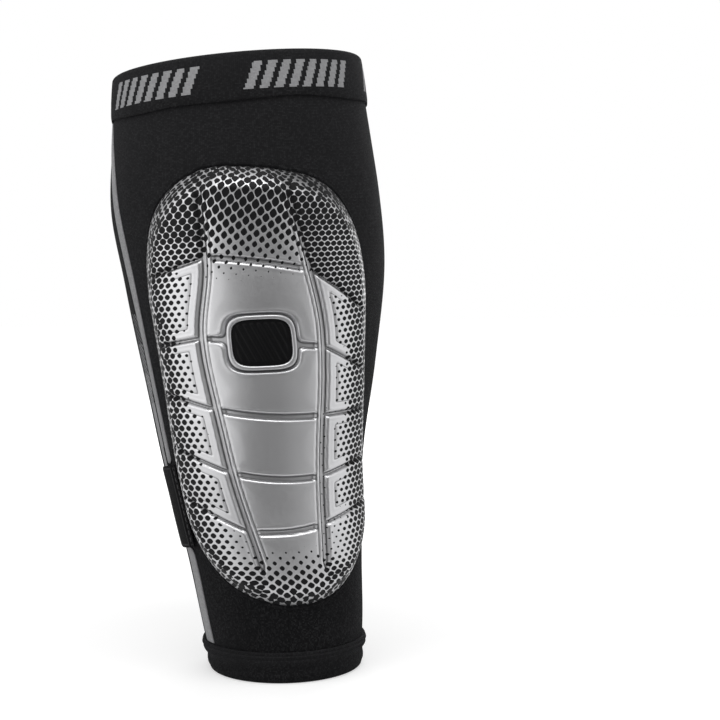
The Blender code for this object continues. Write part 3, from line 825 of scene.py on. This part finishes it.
def print_finish():
    """Silver film with a printed net of black cells, with painted shade on the groove floors, in the creases and along
    the rim.
    """
    settings = bpy.context.scene.guard_pad
    finish = Finish("printed_silver")
    along, up = finish.uv("net")
    size, wide, rim, rim_shade, kept, floor_shade_share, groove, ridge, border = map(
        finish.attribute, ("cell_size", "wide", "rim", "rim_shade", "kept", "floor_shade_share", "groove", "ridge", "border"))
    roundness = size.range(0.25, 0.65, 1.8, Pad.CELL_POWER).most(
        wide.range(Pad.ROUND_CELL, 1.1, Pad.WING_POWER, 1.3))
    nets = []
    for start in (0.0, 0.5):
        sideways, upright = (
            (abs((value + start).fract() - 0.5) * gain) ** roundness
            for value, gain in ((along, wide), (up, 1.0)))
        nets.append((sideways + upright) ** (1.0 / roundness))
    from_cell = nets[0].least(nets[1]) * 2.0
    grain = finish.noise(900.0, 2.0)
    cloud = finish.noise(60.0, 3.0)
    smear = finish.noise(420.0, 1.0).range(0.3, 0.7, -0.30, 0.18)
    ink = (size + smear * rim - from_cell).step(-0.04, 0.04)
    wall = settings.wall / MM
    # Painted shade on the groove floors, less in the wings' grooves
    floor = (1.0 - groove.step(-wall, -0.1)) * kept * floor_shade_share
    # Dark lines of painted shade in the creases at the foot of the groove walls and along the scored lines
    foot = groove.line(-wall, 0.42) * kept
    scored = ridge.line(0.0, 0.30).most(border.line(0.0, 0.34))
    crease_shade = (foot * 0.66).most(scored * 0.55)
    silver = finish.mix(cloud.range(0.3, 0.7, 0.0, 0.16), settings.silver, CLOUDED_SILVER)
    # Painted shade along the rim, strongest over the crown's top and on its right side
    silver = finish.mix(rim_shade * 0.85, silver, SHADED_RIM)
    silver = finish.mix(floor * 0.34, silver, GROOVE_FLOOR_SHADE)
    silver = finish.mix(crease_shade, silver, CREASE_SHADE_BLACK)
    black = finish.mix(grain, settings.ink, GRAINY_INK)
    finish.set(
        Base_Color=finish.mix(ink, silver, black),
        Metallic=ink.range(0.0, 1.0, 0.86, 0.0),
        Roughness=ink.range(0.0, 1.0, 0.34, 0.48) + grain.range(0.3, 0.7, -0.04, 0.05),
        Specular_IOR_Level=0.10)
    finish.bump(grain * 0.16 - ink, 0.06 * MM, 0.8)
    return finish.material


def film_finish(name, base, shade, metallic, roughness):
    """Smooth moulded film with a fine grain and slight clouding."""
    finish = Finish(name)
    grain = finish.noise(1100.0, 2.0)
    cloud = finish.noise(70.0, 3.0)
    finish.set(
        Base_Color=finish.mix(cloud.range(0.3, 0.7, 0.0, 0.5), base, shade),
        Metallic=metallic, Specular_IOR_Level=0.5 if metallic else 0.12,
        Roughness=grain.range(0.25, 0.75, roughness - 0.05, roughness + 0.06))
    finish.bump(grain, 0.03 * MM, 0.6)
    return finish.material


def stripe_finish():
    """Grey ribbed knit of the side stripe, with painted shade between the stitches."""
    finish = Finish("stripe_knit")
    u, v = finish.uv("weave")
    column, row = u * 8.0, v * 230.0
    height = finish.stitches(column, row)
    speck = finish.per_stitch(column.floor(), row.floor())
    base = finish.mix(speck.range(0.0, 1.0, 0.0, 0.55), bpy.context.scene.guard_sleeve.grey, WORN_STRIPE)
    # Painted shade in the valleys between the stitches
    base = finish.mix(height.range(0.0, 0.8, 0.5, 0.0), base, STRIPE_GAP_SHADE)
    finish.set(Base_Color=base, Roughness=0.8, Sheen_Weight=0.12, Sheen_Roughness=0.5)
    finish.bump(height, 0.20 * MM, 0.8)
    return finish.material


def woven_finish():
    """Black satin weave of the label, with painted shade in its valleys and a finer selvedge round its border."""
    finish = Finish("label_weave")
    u, v = finish.uv("weave")
    warp = (u * (2 * math.pi * 34)).sine()
    weft = (v * (2 * math.pi * 96)).sine()
    height = (warp * weft + 1.0) * 0.5
    inner = (u.least(1.0 - u) / 0.10).least(v.least(1.0 - v) / 0.028)
    line = inner.step(0.85, 1.0) * (1.0 - inner.step(1.45, 1.6))
    # Painted shade in the valleys of the weave
    base = finish.mix(height, WEAVE_GAP_SHADE, WEAVE_BLACK)
    base = finish.mix(line * 0.5, base, WEAVE_BORDER)
    finish.set(Base_Color=base, Roughness=height.range(0.0, 1.0, 0.85, 0.65), Specular_IOR_Level=0.05)
    finish.bump(height + line, 0.10 * MM, 0.7)
    return finish.material


def thread_finish():
    """Twisted black thread, with painted shade in the grooves of its twist."""
    finish = Finish("sewing_thread")
    twist = finish.value("TexWave", {"Vector": finish.where(), "Scale": 900.0, "Distortion": 1.0}, "Fac")
    # Painted shade in the grooves of the twist
    finish.set(Base_Color=finish.mix(twist, *PAINTED_TWIST_SHADES), Roughness=0.65)
    finish.bump(twist, 0.05 * MM, 0.8)
    return finish.material


# Pieces

class GUARD_OT_sleeve(bpy.types.Operator):
    """Knit the tapered sleeve with its window for the pad"""
    bl_idname = "guard.sleeve"
    bl_label = "Sleeve"
    bl_options = {"REGISTER", "UNDO"}

    ROWS = 170
    # Share of the pad's outline that the window is cut to
    WINDOW = 0.93

    def execute(self, context):
        settings = context.scene.guard_sleeve
        leg = Leg()
        pad = Pad(leg)
        low = settings.hem_height - settings.hem_overlap
        high = leg.top - settings.cuff_height + settings.cuff_overlap
        bm = blank(ROUND_CELLS, self.ROWS)
        angle, up, _ = points_of(bm)
        angle, z = angle * math.pi, blend(low, high, (up + 1) / 2)
        across = angle * leg.girth_radius(z) - pad.middle(z)
        level = z + pad.tilt(across, z)
        inside = pad.reach(across, level) < self.WINDOW
        covered = [face for face in bm.faces if all(inside[corner.index] for corner in face.verts)]
        near = np.abs(pad.edge(across, level) + 2.0 * MM)
        press(bm, lambda *_: leg.place(angle, z, sleeve_face(angle, z) + 0.35 * MM * hump(near, 4.0 * MM)))
        bmesh.ops.delete(bm, geom=[face for face in covered if face.is_valid], context="FACES")
        finish = knit_finish("sleeve_knit", settings.wales, settings.courses, back_stripe)
        made = piece("sleeve", bm, finish, ["knit_sleeve"])
        thicken(made, settings.knit)
        return {"FINISHED"}


class GUARD_OT_bands(bpy.types.Operator):
    """Fold the top cuff and the bottom hem over the sleeve's edges"""
    bl_idname = "guard.bands"
    bl_label = "Cuff and hem"
    bl_options = {"REGISTER", "UNDO"}

    CUFF_ROWS = 34
    HEM_ROWS = 20
    ROLL_ROWS = 5
    # Folds of the hem from its lower edge up: millimetres out from its face, and share of its height
    HEM_FOLDS = (
        (0.10, 0.14), (0.46, 0.24), (0.32, 0.33), (-0.22, 0.46), (-0.30, 0.56),
        (0.05, 0.66), (0.68, 0.77), (0.82, 0.83), (0.36, 0.90), (0.50, 0.95),
    )

    def execute(self, context):
        settings = context.scene.guard_sleeve
        leg = Leg()
        inner = -settings.knit - FIT
        self.cuff(settings, leg, inner)
        self.hem(settings, leg, inner)
        return {"FINISHED"}

    def cuff(self, settings, leg, inner):
        outside, inside = FIT + 0.9 * MM, inner - 0.9 * MM
        low, high = leg.top - settings.cuff_height, leg.top
        fold = (outside - inside) / 2
        middle = ((outside + inside) / 2, high - fold)
        lip = 0.30 * MM
        corners = [
            *arc((FIT + lip, low + lip), lip, 190, 300, 6),
            (blend(FIT, outside, 0.66), low + 0.8 * MM),
            (blend(FIT, outside, 0.90), low + 2.0 * MM),
            (outside, low + 3.6 * MM),
            (outside + 0.16 * MM, blend(low, high, 0.45)),
            (outside + 0.14 * MM, blend(low, high, 0.72)),
            *arc(middle, fold, 0, 180, 14),
            (inside, low + 2 * lip),
            (blend(inside, inner, 0.5), low),
            (inner, low + 2 * lip),
            (inner, high - 2.4 * MM),
            (FIT, high - 2.4 * MM),
        ]

        def sway(angle, z):
            wave = 0.5 * np.sin(3 * angle + 0.6) + 0.35 * np.sin(7 * angle - 1.0)
            return MM * wave * (1 - ease(low, low + 7 * MM, z))
        bm = ring(evenly(corners, 0.55 * MM), leg, sway)
        self.count_rows(bm, leg, low, high)
        # The cuff gets painted light that makes it paler towards its top
        finish = knit_finish("cuff_knit", settings.wales, self.CUFF_ROWS, slanted_bars, gain=0.48, start=-1.0)
        made = piece("cuff", bm, finish, ["top_cuff", "cuff_elastic"])

    def hem(self, settings, leg, inner):
        outside, inside = FIT + 0.8 * MM, inner - 0.8 * MM
        low, high = 0.0, settings.hem_height
        lip = 0.4 * MM
        bend = 0.9 * MM
        corners = [
            *arc((inside + bend, low + bend), bend, 180, 270, 5),
            *arc((outside - bend, low + bend), bend, 270, 360, 5),
            *((outside + out * MM, blend(low, high, part)) for out, part in self.HEM_FOLDS),
            *arc((outside + 0.1 * MM, high), 0.8 * MM, 0, 110, 6),
            (FIT, high - 0.2 * MM),
            (FIT, low + 1.6 * MM),
            (inner, low + 1.6 * MM),
            (inner, high),
            (inside, high - lip),
        ]

        def sway(angle, z):
            return 1.3 * MM * np.sin(2 * angle - 0.5) * hump(z - 0.5 * high, 3.0 * MM)
        bm = ring(evenly(corners, 0.45 * MM), leg, sway)
        self.count_rows(bm, leg, low, high)
        finish = knit_finish("hem_knit", settings.wales, self.HEM_ROWS)
        made = piece("hem", bm, finish, ["bottom_hem", "hem_elastic"])
        radius = settings.roll_radius
        roll = [
            (0.62 * MM + 1.02 * MM * math.cos(turn), high + radius * (0.9 + 1.35 * math.sin(turn)))
            for turn in np.linspace(0, 2 * math.pi, 14, endpoint=False)
        ]
        bm = ring(roll, leg)
        self.count_rows(bm, leg, high, high + 2.4 * radius)
        finish = knit_finish("roll_knit", settings.wales, self.ROLL_ROWS)
        edge = piece("rolled_edge", bm, finish, ["hem_roll"])

    @staticmethod
    def count_rows(bm, leg, low, high):
        """Let the stitch rows count from the band's lower edge on both of its faces."""
        def place(point, weave):
            tilt = leg.slant * (point.z / leg.top) ** 2
            side = point.x - leg.stand[0] - float(leg.size(leg.shifts, point.z))
            return weave.x, (point.z - tilt * side - low) / (high - low)
        lay_weave(bm, place)


class GUARD_OT_stripe(bpy.types.Operator):
    """Lay the side stripe on the knit, in two lengths above and below the label"""
    bl_idname = "guard.stripe"
    bl_label = "Stripe"
    bl_options = {"REGISTER", "UNDO"}

    # Share of its width that the stripe keeps at climbing heights
    NARROWING = (0.0935, 0.094, 0.147, 0.181), (1.0, 0.6, 0.6, 1.0)
    TURN_HEIGHT = 0.060

    def execute(self, context):
        settings = context.scene.guard_sleeve
        label = context.scene.guard_label
        leg = Leg()
        finish = stripe_finish()
        cuff = leg.top - settings.cuff_height
        roll = settings.hem_height + 2 * FIT + 2 * settings.roll_radius
        turn_start = cuff - self.TURN_HEIGHT
        for name, node, low, high, rows, round_low in (
            ("long_stripe", "stripe_upper", label.bottom + label.length, cuff, 220, True),
            ("short_stripe", "stripe_lower", roll, label.bottom, 70, False),
        ):
            def place(x, y, _):
                trim = self.width(settings, low) / 2 * (1 - np.sqrt(np.maximum(0.0, 1 - x ** 2)))
                start = low + trim if round_low else low
                end = high if round_low else high - trim
                z = blend(start, end, (y + 1) / 2)
                turn = settings.stripe_turn * np.maximum(0.0, (z - turn_start) / self.TURN_HEIGHT) ** 2
                aside = settings.stripe_width / 2 - self.width(settings, z) * (1 - x) / 2
                angle = settings.stripe_angle + turn + aside / leg.girth_radius(z)
                lie = 0.10 * MM + 0.42 * MM * np.sqrt(np.maximum(0.0, 1 - x ** 6))
                return leg.place(angle, z, sleeve_face(angle, z) + lie)
            bm = press(blank(16, rows), place)
            span = (high - low) / (cuff - label.bottom - label.length)
            lay_weave(bm, lambda _, weave: (weave.x, weave.y * span))
            made = piece(name, bm, finish, [node])
            thicken(made, 0.3 * MM)
            middle_width = float(self.width(settings, np.linspace(low, high, 41)).mean())
        return {"FINISHED"}

    def width(self, settings, z):
        """Width at a height: the stripe narrows from its back edge above the label."""
        return settings.stripe_width * np.interp(z, *self.NARROWING)


class GUARD_OT_label(bpy.types.Operator):
    """Fold and sew the woven side label"""
    bl_idname = "guard.label"
    bl_label = "Label"
    bl_options = {"REGISTER", "UNDO"}

    FOLD = 0.75 * MM
    CREASE = 0.58 * MM
    STITCHES = 11
    THREAD = 0.26 * MM

    def execute(self, context):
        settings = context.scene.guard_label
        fold = self.fold_line(settings)
        finish = woven_finish()
        half = settings.length / 2

        def flap(x, y, _):
            along = y * half
            across = settings.flap * (x + 1) / 2
            corner = np.maximum(0.0, np.abs(along) - (half - settings.corner))
            trim = settings.corner - np.sqrt(np.maximum(0.0, settings.corner ** 2 - corner ** 2))
            across = np.minimum(across, settings.flap - trim)
            lift = -across ** 2 / 0.088 + 0.06 * MM * np.sin(along * 190)
            return self.on_fold(fold, across, along, lift + settings.thickness / 2)
        bm = press(blank(22, 60), flap)
        flag = piece("label_flag", bm, finish, ["label_flap"], body="label")
        thicken(flag, settings.thickness)

        def tab(x, y, _):
            across = blend(-settings.tab - self.FOLD, -self.CREASE, (x + 1) / 2)
            lift = -0.18 * MM * hump(across + self.FOLD + settings.tab / 2, 0.6 * MM)
            return self.on_fold(fold, across, y * half, lift + settings.thickness / 2)
        bm = press(blank(10, 60), tab)
        seam = piece("label_seam", bm, finish, ["label_tab"])
        thicken(seam, settings.thickness)
        stitches = self.sew(settings, fold)
        return {"FINISHED"}

    def sew(self, settings, fold):
        """Row of stitches along the tab."""
        bm = bmesh.new()
        pitch = (settings.length - 2 * settings.corner) / self.STITCHES
        for stitch in range(self.STITCHES):
            along = (stitch + 0.5) * pitch - settings.length / 2 + settings.corner
            seat = Matrix.Translation((-self.FOLD - settings.tab / 2, along, settings.thickness / 2 + 0.08 * MM))
            form = Matrix.Diagonal((self.THREAD, pitch * 0.40, self.THREAD, 1.0))
            bmesh.ops.create_uvsphere(bm, u_segments=10, v_segments=8, radius=1.0, matrix=fold @ seat @ form)
        return piece("label_stitches", bm, thread_finish(), ["label_thread"])

    @staticmethod
    def fold_line(settings):
        """X runs back over the flap, Y down the fold, Z away from the leg."""
        leg = Leg()
        seat = 3 * FIT + 0.7 * MM + settings.thickness / 2
        low = Vector(leg.place(settings.angle, settings.bottom, seat))
        high = Vector(leg.place(settings.angle, settings.bottom + settings.length, seat))
        middle = settings.bottom + settings.length / 2
        near = Vector(leg.place(settings.angle, middle, 0.0))
        normal = Vector(leg.place(settings.angle, middle, 1.0)) - near
        normal.z = 0.0
        up = (high - low).normalized()
        back = normal.normalized().cross(up).normalized()
        turned = Matrix((back, -up, up.cross(back))).transposed().to_4x4()
        turned.translation = (low + high) / 2
        return turned

    @staticmethod
    def on_fold(fold, across, along, lift):
        local = np.stack([across, along, lift + np.zeros_like(across), np.ones_like(across)])
        return tuple((np.array(fold) @ local)[:3])


class GUARD_OT_pad(bpy.types.Operator):
    """Mould the foam pad with its printed skin"""
    bl_idname = "guard.pad"
    bl_label = "Pad"
    bl_options = {"REGISTER", "UNDO"}

    COARSE = (52, 118)
    CUTS = 3
    BACK = -1.55 * MM
    FACTS = ("groove", "kept", "floor_shade_share", "ridge", "border", "cell_size", "wide", "rim", "rim_shade")
    EDGE_CROWDING = 0.72 * math.pi / 2
    # Shares of the rows that the round toe and the straight sides take
    TOE_ROWS = 0.245
    SIDE_ROWS = 0.440

    def execute(self, context):
        pad = Pad(Leg())
        bm = bmesh.new()
        net = bm.loops.layers.uv.new("net")
        layers = {name: bm.verts.layers.float.new(name) for name in self.FACTS}
        bmesh.ops.create_grid(bm, x_segments=self.COARSE[0], y_segments=self.COARSE[1], size=1)
        skin = bmesh.ops.extrude_face_region(bm, geom=bm.faces[:], use_keep_orig=True)["geom"]
        raised = [item for item in skin if isinstance(item, bmesh.types.BMVert)]
        bmesh.ops.translate(bm, verts=raised, vec=(0, 0, 1))
        top = set(raised)
        upper = [edge for edge in bm.edges if edge.verts[0] in top and edge.verts[1] in top]
        bmesh.ops.subdivide_edges(bm, edges=upper, cuts=self.CUTS, use_grid_fill=True)
        x, y, front = points_of(bm)
        across, z = self.spread(pad, x, y)
        rise, facts = pad.relief(across, z)
        along, up, wide = pad.net(across, z)
        facts.update(wide=wide, cell_size=np.minimum(facts["cell_size"], pad.touching(wide)))
        rim = np.maximum(np.abs(x), np.abs(y)) > 0.9999
        out = np.where(front > 0.5, np.where(rim, -0.5 * MM, pad.dome(across, z) + rise), self.BACK)
        places = np.stack(pad.place(across, z, out), axis=1)
        for count, vertex in enumerate(bm.verts):
            vertex.co = places[count]
            for name, layer in layers.items():
                vertex[layer] = facts[name][count]
            for corner in vertex.link_loops:
                corner[net].uv = (along[count], up[count])
        bmesh.ops.remove_doubles(bm, verts=bm.verts, dist=SEAM)
        made = piece("pad", face_outwards(bm), print_finish(), ["foam_core", *PANEL_NODES])
        return {"FINISHED"}

    def spread(self, pad, x, y):
        """Even rows of cells over the pad's outline, crowded towards its sides."""
        s = pad.set
        row = (y + 1) / 2
        toe, side = self.TOE_ROWS, self.TOE_ROWS + self.SIDE_ROWS
        drop = np.clip((toe - row) / toe, 0, 1) * math.pi / 2
        climb = np.clip((row - side) / (1 - side), 0, 1) * math.pi / 2
        z = blend(s.toe, s.shoulder, np.clip((row - toe) / (side - toe), 0, 1))
        z = z - (s.toe - s.bottom) * np.sin(drop) + (s.top - s.shoulder) * np.sin(climb)
        half = np.where(np.abs(y) > 0.9999, 0.0, pad.half_width(z, x > 0))
        return half * np.sin(x * self.EDGE_CROWDING) / math.sin(self.EDGE_CROWDING), z


class GUARD_OT_trim(bpy.types.Operator):
    """Bond the welt round the window and the lining behind the pad"""
    bl_idname = "guard.trim"
    bl_label = "Welt and lining"
    bl_options = {"REGISTER", "UNDO"}

    LINING_REACH = 6.0 * MM
    # Girth and height that the sleeve's stitches are counted on
    CLOTH = (0.38, 0.26)

    def execute(self, context):
        settings = context.scene.guard_sleeve
        pad = Pad(Leg())

        def outline(x, growth):
            """Point on the pad's outline that is grown by this much, going once round it while x goes from -1 to 1."""
            s = pad.set
            turn = x * math.pi + math.pi / 2 + 1e-9
            straight = math.radians(20)
            climb = np.arcsin(np.clip(np.sin(turn), -1, 1))
            corner = np.clip((np.abs(climb) - straight) / (math.pi / 2 - straight), 0, 1) * math.pi / 2
            part = np.clip(climb / straight, -1, 1) / 2 + 0.5
            right = np.cos(turn) > 0
            power = pad.squareness(right, climb > 0)
            reach = np.where(climb > 0, s.top - s.shoulder + growth, -(s.toe - s.bottom + growth))
            z = blend(s.toe, s.shoulder, part) + reach * np.sin(corner) ** (2 / power)
            half = (pad.side(blend(s.toe, s.shoulder, part)) + growth) * np.cos(corner) ** (2 / power)
            return np.where(right, half, -half), z

        def welt(x, y, _):
            part = (y + 1) * math.pi
            across, z = outline(x, 0.9 * MM + 1.0 * MM * np.cos(part))
            return pad.place(across, z, 0.35 * MM + 0.62 * MM * np.sin(part) * np.where(np.sin(part) > 0, 1, 0.8))
        bm = face_outwards(press(blank(360, 14), welt))
        edging = piece("opening_welt", bm, knit_finish("welt_knit", 520, 6), ["window_welt"])

        def lining(x, y, _):
            part = (y + 1) / 2
            across, z = outline(x, self.LINING_REACH)
            middle = (pad.set.top + pad.set.bottom) / 2
            across, z = across * part, blend(middle, z, part)
            return pad.place(across, z, -settings.knit - 2 * FIT - 0.15 * MM * (1 - part ** 20))
        bm = press(blank(160, 40), lining)
        lay_weave(bm, lambda point, _: (point.x / self.CLOTH[0], point.z / self.CLOTH[1]))
        finish = knit_finish("lining_knit", settings.wales, settings.courses)
        made = piece("lining", bm, finish, ["pad_lining"])
        thicken(made, 0.9 * MM)
        return {"FINISHED"}


class GUARD_OT_badge(bpy.types.Operator):
    """Mould the raised frame and its black inlay"""
    bl_idname = "guard.badge"
    bl_label = "Badge"
    bl_options = {"REGISTER", "UNDO"}

    ROUND = 160

    def execute(self, context):
        settings = context.scene.guard_badge
        silver = context.scene.guard_pad.silver
        pad = Pad(Leg())

        def outline(turn, growth):
            cosine, sine = np.cos(turn), np.sin(turn)
            across = np.sign(cosine) * np.sqrt(np.abs(cosine)) * (settings.width / 2 + growth)
            up = np.sign(sine) * np.sqrt(np.abs(sine)) * (settings.height / 2 + growth)
            return settings.shift + across, settings.middle + up

        bevel = 0.55 * MM
        foot = 0.3 * MM
        corners = [
            (0.0, foot),
            *arc((-bevel, settings.rise - bevel), bevel, 0, 90, 5),
            *arc((-settings.rim + bevel, settings.rise - bevel), bevel, 90, 180, 5),
            (-settings.rim, foot),
        ]
        profile = evenly(corners, 0.35 * MM)
        at = follow(profile)

        def rim(x, y, _):
            growth, rise = at(y)
            across, z = outline(x * math.pi, growth)
            return pad.place(across, z, pad.dome(across, z) + rise)
        bm = face_outwards(press(blank(self.ROUND, len(profile)), rim))
        finish = film_finish("frame_silver", silver, FRAME_SHADE, metallic=0.86, roughness=0.34)
        piece("badge_rim", bm, finish, ["badge_frame"])

        def inlay(x, y, _):
            round_x = x * (1 - y ** 4 / 2) ** 0.25
            round_y = y * (1 - x ** 4 / 2) ** 0.25
            across = round_x * (settings.width / 2 - settings.rim - 0.1 * MM)
            up = round_y * (settings.height / 2 - settings.rim - 0.1 * MM)
            rib = 0.5 + 0.5 * np.cos((across + 0.4 * up) / (1.3 * MM) * math.pi)
            ribs = 0.22 * MM * ease(0.30, 0.80, rib) * (1 - ease(0.80, 0.88, np.maximum(np.abs(x), np.abs(y))))
            across, z = across + settings.shift, up + settings.middle
            return pad.place(across, z, pad.dome(across, z) + settings.rise - 0.95 * MM + ribs)
        bm = press(blank(120, 100), inlay)
        bmesh.ops.recalc_face_normals(bm, faces=bm.faces)
        finish = film_finish("inlay_black", INLAY_BLACK, INLAY_SHADE, metallic=0.0, roughness=0.42)
        made = piece("badge_face", bm, finish, ["badge_inlay"])
        thicken(made, 0.6 * MM)
        return {"FINISHED"}


class GUARD_OT_stage(bpy.types.Operator):
    """Set up the floor, the lamps and the camera"""
    bl_idname = "guard.stage"
    bl_label = "Stage"
    bl_options = {"REGISTER", "UNDO"}

    AIM = (0, 0, 0.13)
    RIGHT_SHARE = 0.41
    FLOOR_RADIUS = 6.0
    FLOOR_DROP = 0.2 * MM
    # Side view of the dark sweep: how far before the object, and how high
    SWEEP_DEPTHS = (-0.17, -0.80, -1.00, -1.04)
    SWEEP_HEIGHTS = (0.0, 0.0, 0.12, 0.58)

    def execute(self, context):
        settings = context.scene.guard_stage
        context.scene.view_settings.view_transform = "Standard"
        self.camera(context, settings)
        self.floor()
        self.world(context, settings)
        self.lamp(context, "left_lamp", (-1.22, -0.45, 0.65), (1.3, 1.3), settings.side_lamp)
        self.lamp(context, "right_lamp", (1.22, -0.45, 0.60), (1.3, 1.3), settings.side_lamp * self.RIGHT_SHARE)
        self.lamp(context, "top_lamp", (0.0, -0.45, 1.15), (0.9, 0.6), settings.top_lamp)
        self.lamp(context, "back_lamp", (0.45, 1.20, 0.65), (1.1, 1.1), settings.back_lamp)
        self.flag()
        return {"FINISHED"}

    def camera(self, context, settings):
        made = bpy.data.objects.new("camera", bpy.data.cameras.new("camera"))
        made.data.lens = settings.lens
        made.data.sensor_width = 36.0
        made.data.clip_start = 0.01
        context.scene.collection.objects.link(made)
        ahead = (Vector(settings.camera_aim) - Vector(settings.camera_place)).normalized()
        right = ahead.cross(Vector((0, 0, 1))).normalized()
        up = right.cross(ahead)
        roll = settings.camera_roll
        turned_right = right * math.cos(roll) + up * math.sin(roll)
        turned_up = up * math.cos(roll) - right * math.sin(roll)
        seat = Matrix((turned_right, turned_up, -ahead)).transposed().to_4x4()
        seat.translation = Vector(settings.camera_place)
        made.matrix_world = seat
        context.scene.camera = made

    def floor(self):
        bm = bmesh.new()
        bmesh.ops.create_circle(bm, cap_ends=True, segments=96, radius=self.FLOOR_RADIUS)
        finish = Finish("white_floor")
        finish.set(Base_Color=FLOOR_WHITE, Roughness=1.0, Specular_IOR_Level=0.0)
        away = finish.value("VectorMath", {0: finish.where()}, "Value", operation="LENGTH")
        strength = finish.seen() * away.range(0.10, 0.80, 0.50, 0.80)
        glow = finish.value("Emission", {"Color": WHITE, "Strength": strength})
        both = finish.value("AddShader", {0: finish.shader.outputs[0], 1: glow})
        finish.feed(finish.tree.nodes["Material Output"].inputs["Surface"], both)
        made = shape("floor", bm, finish.material)
        made.location.z = -self.FLOOR_DROP

    def flag(self):
        """Dark sweep before the object, on the floor and up behind the camera, which the silver film mirrors."""
        depths, heights = self.SWEEP_DEPTHS, self.SWEEP_HEIGHTS
        run = np.concatenate(([0.0], np.cumsum(np.hypot(np.diff(depths), np.diff(heights)))))

        def sweep(x, y, _):
            along = (y + 1) / 2 * run[-1]
            back = np.interp(along, run, depths)
            away = -0.15 - back
            left, right = -0.16 - 0.31 * away, 0.30 + away
            return blend(left, right, (x + 1) / 2), back, np.interp(along, run, heights) + 1 * MM
        finish = Finish("dark_card")
        u, _ = finish.uv("weave")
        finish.set(
            Base_Color=finish.mix(u.step(0.38, 0.62), *CARD_SHADES), Roughness=1.0, Specular_IOR_Level=0.0)
        made = shape("flag", press(blank(1, 24), sweep), finish.material)
        made.visible_camera = False
        made.visible_diffuse = False
        made.visible_shadow = False

    def world(self, context, settings):
        world = bpy.data.worlds.new("studio")
        context.scene.world = world
        world.use_nodes = True
        wiring = Wiring(world.node_tree)
        back = wiring.tree.nodes["Background"]
        wiring.feed(back.inputs["Color"], WHITE)
        wiring.feed(back.inputs["Strength"], wiring.seen().range(0.0, 1.0, settings.ambient, 1.0))

    def lamp(self, context, name, place, size, power):
        light = bpy.data.lights.new(name, "AREA")
        light.shape = "RECTANGLE"
        light.size, light.size_y = size
        light.energy = power
        made = bpy.data.objects.new(name, light)
        made.location = place
        aim = Vector(self.AIM) - Vector(place)
        made.rotation_euler = aim.to_track_quat("-Z", "Y").to_euler()
        made.visible_camera = False
        context.scene.collection.objects.link(made)


class GUARD_PT_panel(bpy.types.Panel):
    """Lists the steps and sizes of the shin guard."""
    bl_idname = "GUARD_PT_panel"
    bl_label = "Shin Guard"
    bl_space_type = "VIEW_3D"
    bl_region_type = "UI"
    bl_category = "Shin Guard"

    def draw(self, context):
        for operator in OPERATORS:
            self.layout.operator(operator.bl_idname)
        for name, group in SETTINGS:
            box = self.layout.box()
            box.label(text=group.__doc__)
            for field in group.__annotations__:
                box.prop(getattr(context.scene, name), field)


OPERATORS = (
    GUARD_OT_stage,
    GUARD_OT_sleeve,
    GUARD_OT_bands,
    GUARD_OT_stripe,
    GUARD_OT_label,
    GUARD_OT_trim,
    GUARD_OT_pad,
    GUARD_OT_badge,
)


def register():
    for name, group in SETTINGS:
        bpy.utils.register_class(group)
        setattr(bpy.types.Scene, name, PointerProperty(type=group))
    for operator in OPERATORS:
        bpy.utils.register_class(operator)
    bpy.utils.register_class(GUARD_PT_panel)


def unregister():
    bpy.utils.unregister_class(GUARD_PT_panel)
    for operator in reversed(OPERATORS):
        bpy.utils.unregister_class(operator)
    for name, group in reversed(SETTINGS):
        delattr(bpy.types.Scene, name)
        bpy.utils.unregister_class(group)


def main():
    register()
    bpy.ops.guard.stage()
    bpy.ops.guard.sleeve()
    bpy.ops.guard.bands()
    bpy.ops.guard.stripe()
    bpy.ops.guard.label()
    bpy.ops.guard.trim()
    bpy.ops.guard.pad()
    bpy.ops.guard.badge()
    bpy.context.view_layer.update()


if __name__ == "__main__":
    main()
